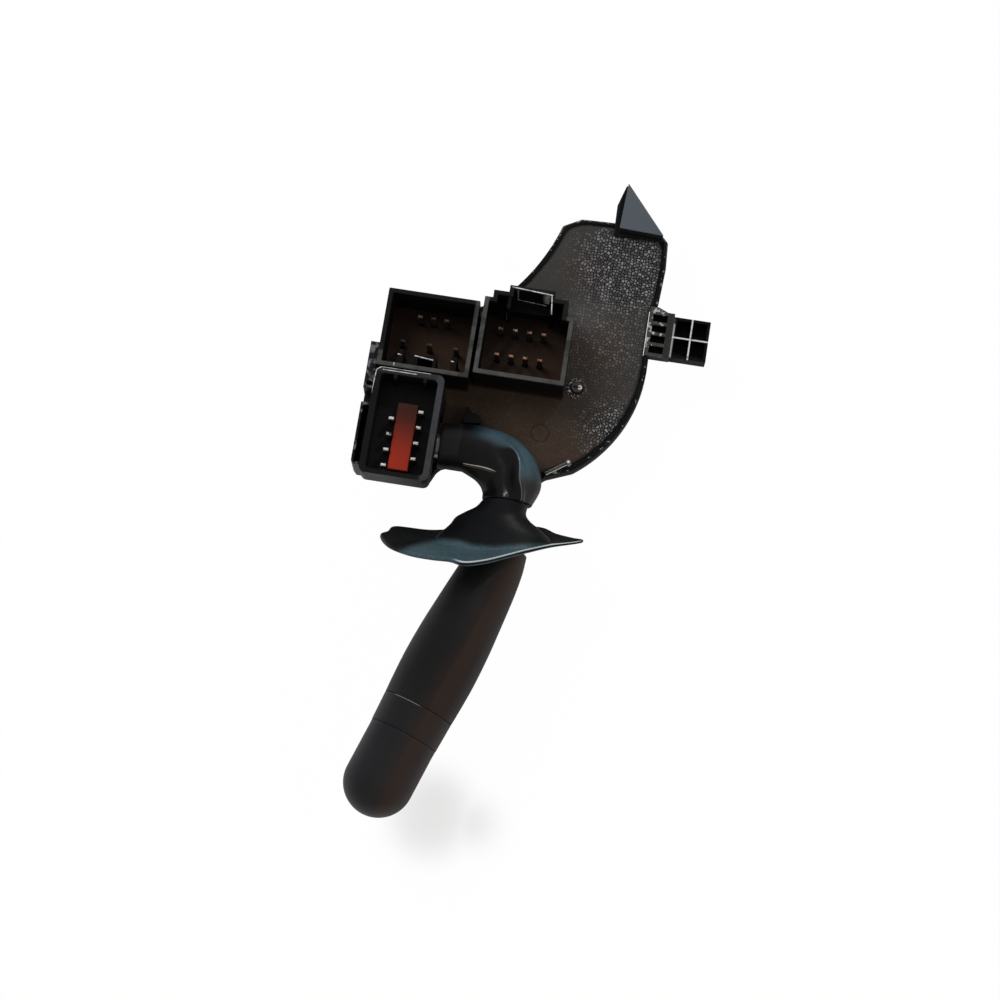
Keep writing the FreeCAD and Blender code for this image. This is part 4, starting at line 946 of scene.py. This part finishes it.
def build_handle(settings):
    """Sleeve, ring and knob: revolved profiles with rounded edges at the seams and a domed end."""
    seam, dish = settings.seam / MM, settings.dish / MM
    outer = spline([(7.3, -13.0), (8.5, -8.2), (9.35, -2.5), (9.9, 3.0), (10.5, 10.5), (11.1, 19.0), (11.35, 29.0),
                    (11.05, 38.0), (10.85, SLEEVE_END - seam)], 60, closed=False)
    sleeve = [(6.3, -13.0), *outer, *rolled(10.85, SLEEVE_END, seam, -1)[1::-1], (SEAM_RADIUS, SLEEVE_END)]
    handle = plastic("Grip", handle_tint, rough=0.50, shine=0.18, grain=0.0006, relief=0.10, wear=0.15, dust=0.15)
    knob = plastic("Knob", handle_tint, rough=0.46, shine=0.2, grain=0.0006, relief=0.05, wear=0.15, dust=0.12)
    handle_piece("grip_sleeve", sleeve, handle, "lever", "handle_sleeve", dish)
    ring = [(SEAM_RADIUS, RING_START), *rolled(10.82, RING_START, seam, 1)]
    ring += [(10.82 - 0.035 * k, 42.4 + k) for k in range(8)]
    ring += [*rolled(10.53, RING_END, seam, -1)[::-1], (SEAM_RADIUS, RING_END)]
    handle_piece("turn_ring", ring, knob, "fog_ring", "fog_ring", dish)
    t = np.linspace(0, math.pi / 2, 28)
    dome = np.stack([10.4 * np.cos(t), 66.0 + 10.4 * np.sin(t)], 1)
    dome[-1, 0] = 1e-3
    end = [(SEAM_RADIUS, KNOB_START), *rolled(10.45, KNOB_START, seam, 1)]
    end += [(10.4, s) for s in np.linspace(52, 65, 10)]
    handle_piece("end_knob", np.vstack([end, dome]), knob, "light_knob", "light_knob", dish)


def dress(names, material, width=None):
    """Gives carried-over parts a material and, with a width, rounded edges."""
    for name in names:
        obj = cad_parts[name]
        obj.data.materials.clear()
        obj.data.materials.append(material)
        if width:
            soften(obj, width)


def build_details(settings):
    """Materials, and where it shows rounded edges, of the parts that keep their solids."""
    edge, wear = settings.edge, settings.wear
    dress(["left_socket", "mid_socket"], plastic("Socket", socket_tint, rough=0.6, shine=0.1, wear=0.0), edge)
    dress(["lower_socket"], plastic("Lower socket", lower_tint, rough=0.5, shine=0.15, wear=0.0), edge)
    dress(["side_rails", "turret_case"], plastic("Turret", rail_tint, rough=0.5, shine=0.2, wear=0.1), edge)
    dress(["front_cover"], plastic("Cover", (30, 29, 29), rough=0.55, shine=0.2), 0.0005)
    dress(["fin_foot", "stop_post"], plastic("Dark fittings", (9, 9, 9), rough=0.5, shine=0.15, wear=0.1), edge)
    slate = plastic("Slate fin", fin_tint, rough=0.5, shine=0.2, grain=0.0006, relief=0.05, wear=0.1)
    dress(["guide_fin"], slate, edge)
    dress(["clip_block"], plastic("Block", cell_tint, rough=0.5, shine=0.05, wear=0.0))
    dress(["side_clip"], plastic("Clip", clip_tint, rough=0.5, shine=0.1, wear=wear * 0.2))
    dress(["red_retainer"], plastic("Red lock", red_tint, rough=0.5, shine=0.2, wear=0.1))
    dress(["left_pins", "mid_pins", "lower_pins", "fixed_contacts", "moving_contact"],
          plastic("Tinned copper", pin_tint, rough=0.35, shine=0.5, grain=0.0004, relief=0.05, metallic=0.2))
    dress(["limit_pin"], plastic("Rod", rod_tint, rough=0.4, shine=0.4, grain=0.0004, relief=0.05))
    dress(["boss_screw"], plastic("Boss screw", screw_tint, rough=0.4, shine=0.3, grain=0.0004, relief=0.05))
    dress(["bracket_posts", "cover_screws", "pivot_pin", "pawl_pin", "pawl_spring", "detent_plunger",
           "detent_spring", "lever_shaft", "retaining_clip", "dimmer_crank", "knob_ball"],
          plastic("Steel", (150, 152, 155), rough=0.32, shine=0.5, grain=0.0004, relief=0.04, metallic=0.8))
    dress(["terminal_board", "upper_board", "contact_plate"], plastic("Board", (40, 74, 48), rough=0.4, shine=0.4))
    dress(["slider_guide", "detent_cam", "turn_carrier", "dimmer_slider", "turn_slider", "cancel_pawl",
           "lever_barrel", "barrel_bush", "knob_rotor"], plastic("Acetal", (205, 202, 192), rough=0.45, shine=0.3))


# Stage

def light(name, size, power, place, target, colour=(1, 1, 1)):
    """Round lamp at a place, turned towards its target."""
    data = bpy.data.lights.new(name, "AREA")
    data.shape = "DISK"
    data.size = size
    data.energy = power
    data.color = colour
    obj = bpy.data.objects.new(name, data)
    bpy.context.scene.collection.objects.link(obj)
    aim = np.array(target, float) - np.array(place, float)
    obj.location = place
    obj.rotation_euler = (math.atan2(math.hypot(aim[0], aim[1]), -aim[2]), 0, math.atan2(aim[1], aim[0]) - math.pi / 2)
    return obj


def build_stage(settings):
    """White ground that shows only faint shadows, soft lights, and the camera at the photograph's angle."""
    scene = bpy.context.scene
    e, a = settings.elevation, settings.azimuth
    back = np.array([math.sin(a) * math.cos(e), -math.cos(a) * math.cos(e), math.sin(e)])
    right = np.array([math.cos(a), math.sin(a), 0])
    up = np.cross(back, right)
    target = (VIEW_CENTRE + 26.4 * right - 15.6 * up) * MM
    camera = bpy.data.objects.new("Camera", bpy.data.cameras.new("Camera"))
    camera.data.lens = 84.0
    camera.data.sensor_width = 36.0
    camera.location = target + back * settings.distance
    camera.rotation_euler = (math.pi / 2 - e, 0, a)
    scene.collection.objects.link(camera)
    scene.camera = camera

    ground = bpy.data.materials.new("Ground")
    ground.use_nodes = True
    tree = ground.node_tree
    s = Shader(tree)
    principled = tree.nodes["Principled BSDF"]
    principled.inputs["Base Color"].default_value = (0.9, 0.9, 0.9, 1)
    principled.inputs["Roughness"].default_value = 0.9
    principled.inputs["Specular IOR Level"].default_value = 0.0
    glow = s.add("Emission", {"Color": (1, 1, 1, 1), "Strength": 1.0})
    seen = s.add("LightPath", out=0)
    s.locate()
    # Real lamp shadows, shown faintly everywhere and more darkly inside a painted region round the handle's end.
    shade = s.most(s.near((22, -107, 0), 12, 11), s.near((36, -108, 0), 6, 11))
    share = s.times(seen, s.step(shade, 0.0, 1.0, 0.985, 0.62))
    mixed = s.add("MixShader", {0: share, 1: principled.outputs[0], 2: glow})
    clear = s.add("BsdfTransparent")
    under = s.add("NewGeometry", out=6)
    final = s.add("MixShader", {0: under, 1: mixed, 2: clear})
    tree.links.new(final, tree.nodes["Material Output"].inputs[0])
    x, y = np.meshgrid(np.linspace(-1500, 1500, 9), np.linspace(-1500, 1500, 9))
    grid = np.stack([x, y, np.full_like(x, -0.02)], -1)
    points, quads = surface(grid, wrap=False)
    floor = make_piece("ground", points, quads, ground, "housing")
    floor.parent = None

    world = bpy.data.worlds.new("Studio")
    world.use_nodes = True
    scene.world = world
    tree = world.node_tree
    s = Shader(tree)
    soft = tree.nodes["Background"]
    soft.inputs[0].default_value = (1, 1, 1, 1)
    seen = s.add("LightPath", out=0)
    tree.links.new(s.plus(s.times(seen, 0.55), 0.45), soft.inputs[1])
    spot = (0.03, 0.0, 0.02)
    key = light("Key", 0.35, settings.key, (-0.33, 0.24, 0.50), spot, (0.95, 0.98, 1.0))
    key.visible_glossy = False
    side = light("Side", 0.25, settings.key * 0.25, (0.45, -0.05, 0.30), spot, (1.0, 0.95, 0.9))
    side.visible_glossy = False
    glint = light("Glint", 0.05, settings.key * 0.30, (0.19, 0.33, 0.36), spot)
    glint.visible_diffuse = False
    scene.view_settings.view_transform = "Standard"


class BuildHousing(bpy.types.Operator):
    """Build the grained housing plate with its rim"""
    bl_idname = "stalk.housing"
    bl_label = "Housing"

    def execute(self, context):
        build_housing(context.scene.stalk_plate)
        return {"FINISHED"}


class BuildNeck(bpy.types.Operator):
    """Build the cranked neck"""
    bl_idname = "stalk.neck"
    bl_label = "Neck"

    def execute(self, context):
        build_neck(context.scene.stalk_lever)
        return {"FINISHED"}


class BuildShield(bpy.types.Operator):
    """Build the finger shield and its trumpet"""
    bl_idname = "stalk.shield"
    bl_label = "Shield"

    def execute(self, context):
        build_shield(context.scene.stalk_lever)
        return {"FINISHED"}


class BuildHandle(bpy.types.Operator):
    """Build the sleeve, the ring and the end knob"""
    bl_idname = "stalk.handle"
    bl_label = "Handle"

    def execute(self, context):
        build_handle(context.scene.stalk_lever)
        return {"FINISHED"}


class DressDetails(bpy.types.Operator):
    """Give the sockets, pins, clip, fin and inner parts their materials and edges"""
    bl_idname = "stalk.details"
    bl_label = "Details"

    def execute(self, context):
        build_details(context.scene.stalk_details)
        return {"FINISHED"}


class BuildStage(bpy.types.Operator):
    """Set the ground, the lights and the camera"""
    bl_idname = "stalk.stage"
    bl_label = "Stage"

    def execute(self, context):
        build_stage(context.scene.stalk_stage)
        return {"FINISHED"}


OPERATORS = (BuildHousing, BuildNeck, BuildShield, BuildHandle, DressDetails, BuildStage)
SETTINGS = {"stalk_plate": PlateSettings, "stalk_lever": LeverSettings, "stalk_details": DetailSettings,
            "stalk_stage": StageSettings}


class StalkPanel(bpy.types.Panel):
    """Settings and steps of the stalk switch"""
    bl_label = "Stalk switch"
    bl_idname = "VIEW3D_PT_stalk_switch"
    bl_space_type = "VIEW_3D"
    bl_region_type = "UI"
    bl_category = "Stalk switch"

    def draw(self, context):
        for label, group in SETTINGS.items():
            box = self.layout.box()
            for key in group.__annotations__:
                box.prop(getattr(context.scene, label), key)
        for operator in OPERATORS:
            self.layout.operator(operator.bl_idname)


def register():
    """Register the settings, the operators and the panel."""
    for cls in (*SETTINGS.values(), *OPERATORS, StalkPanel):
        bpy.utils.register_class(cls)
    for label, group in SETTINGS.items():
        setattr(bpy.types.Scene, label, bpy.props.PointerProperty(type=group))


def unregister():
    """Take away everything that register added."""
    for label in SETTINGS:
        delattr(bpy.types.Scene, label)
    for cls in (StalkPanel, *OPERATORS[::-1], *list(SETTINGS.values())[::-1]):
        bpy.utils.unregister_class(cls)


def main():
    """Run every step in order."""
    register()
    make_groups()
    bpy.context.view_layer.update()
    for step in ("housing", "neck", "shield", "handle", "details", "stage"):
        getattr(bpy.ops.stalk, step)()


if __name__ == "__main__":
    main()
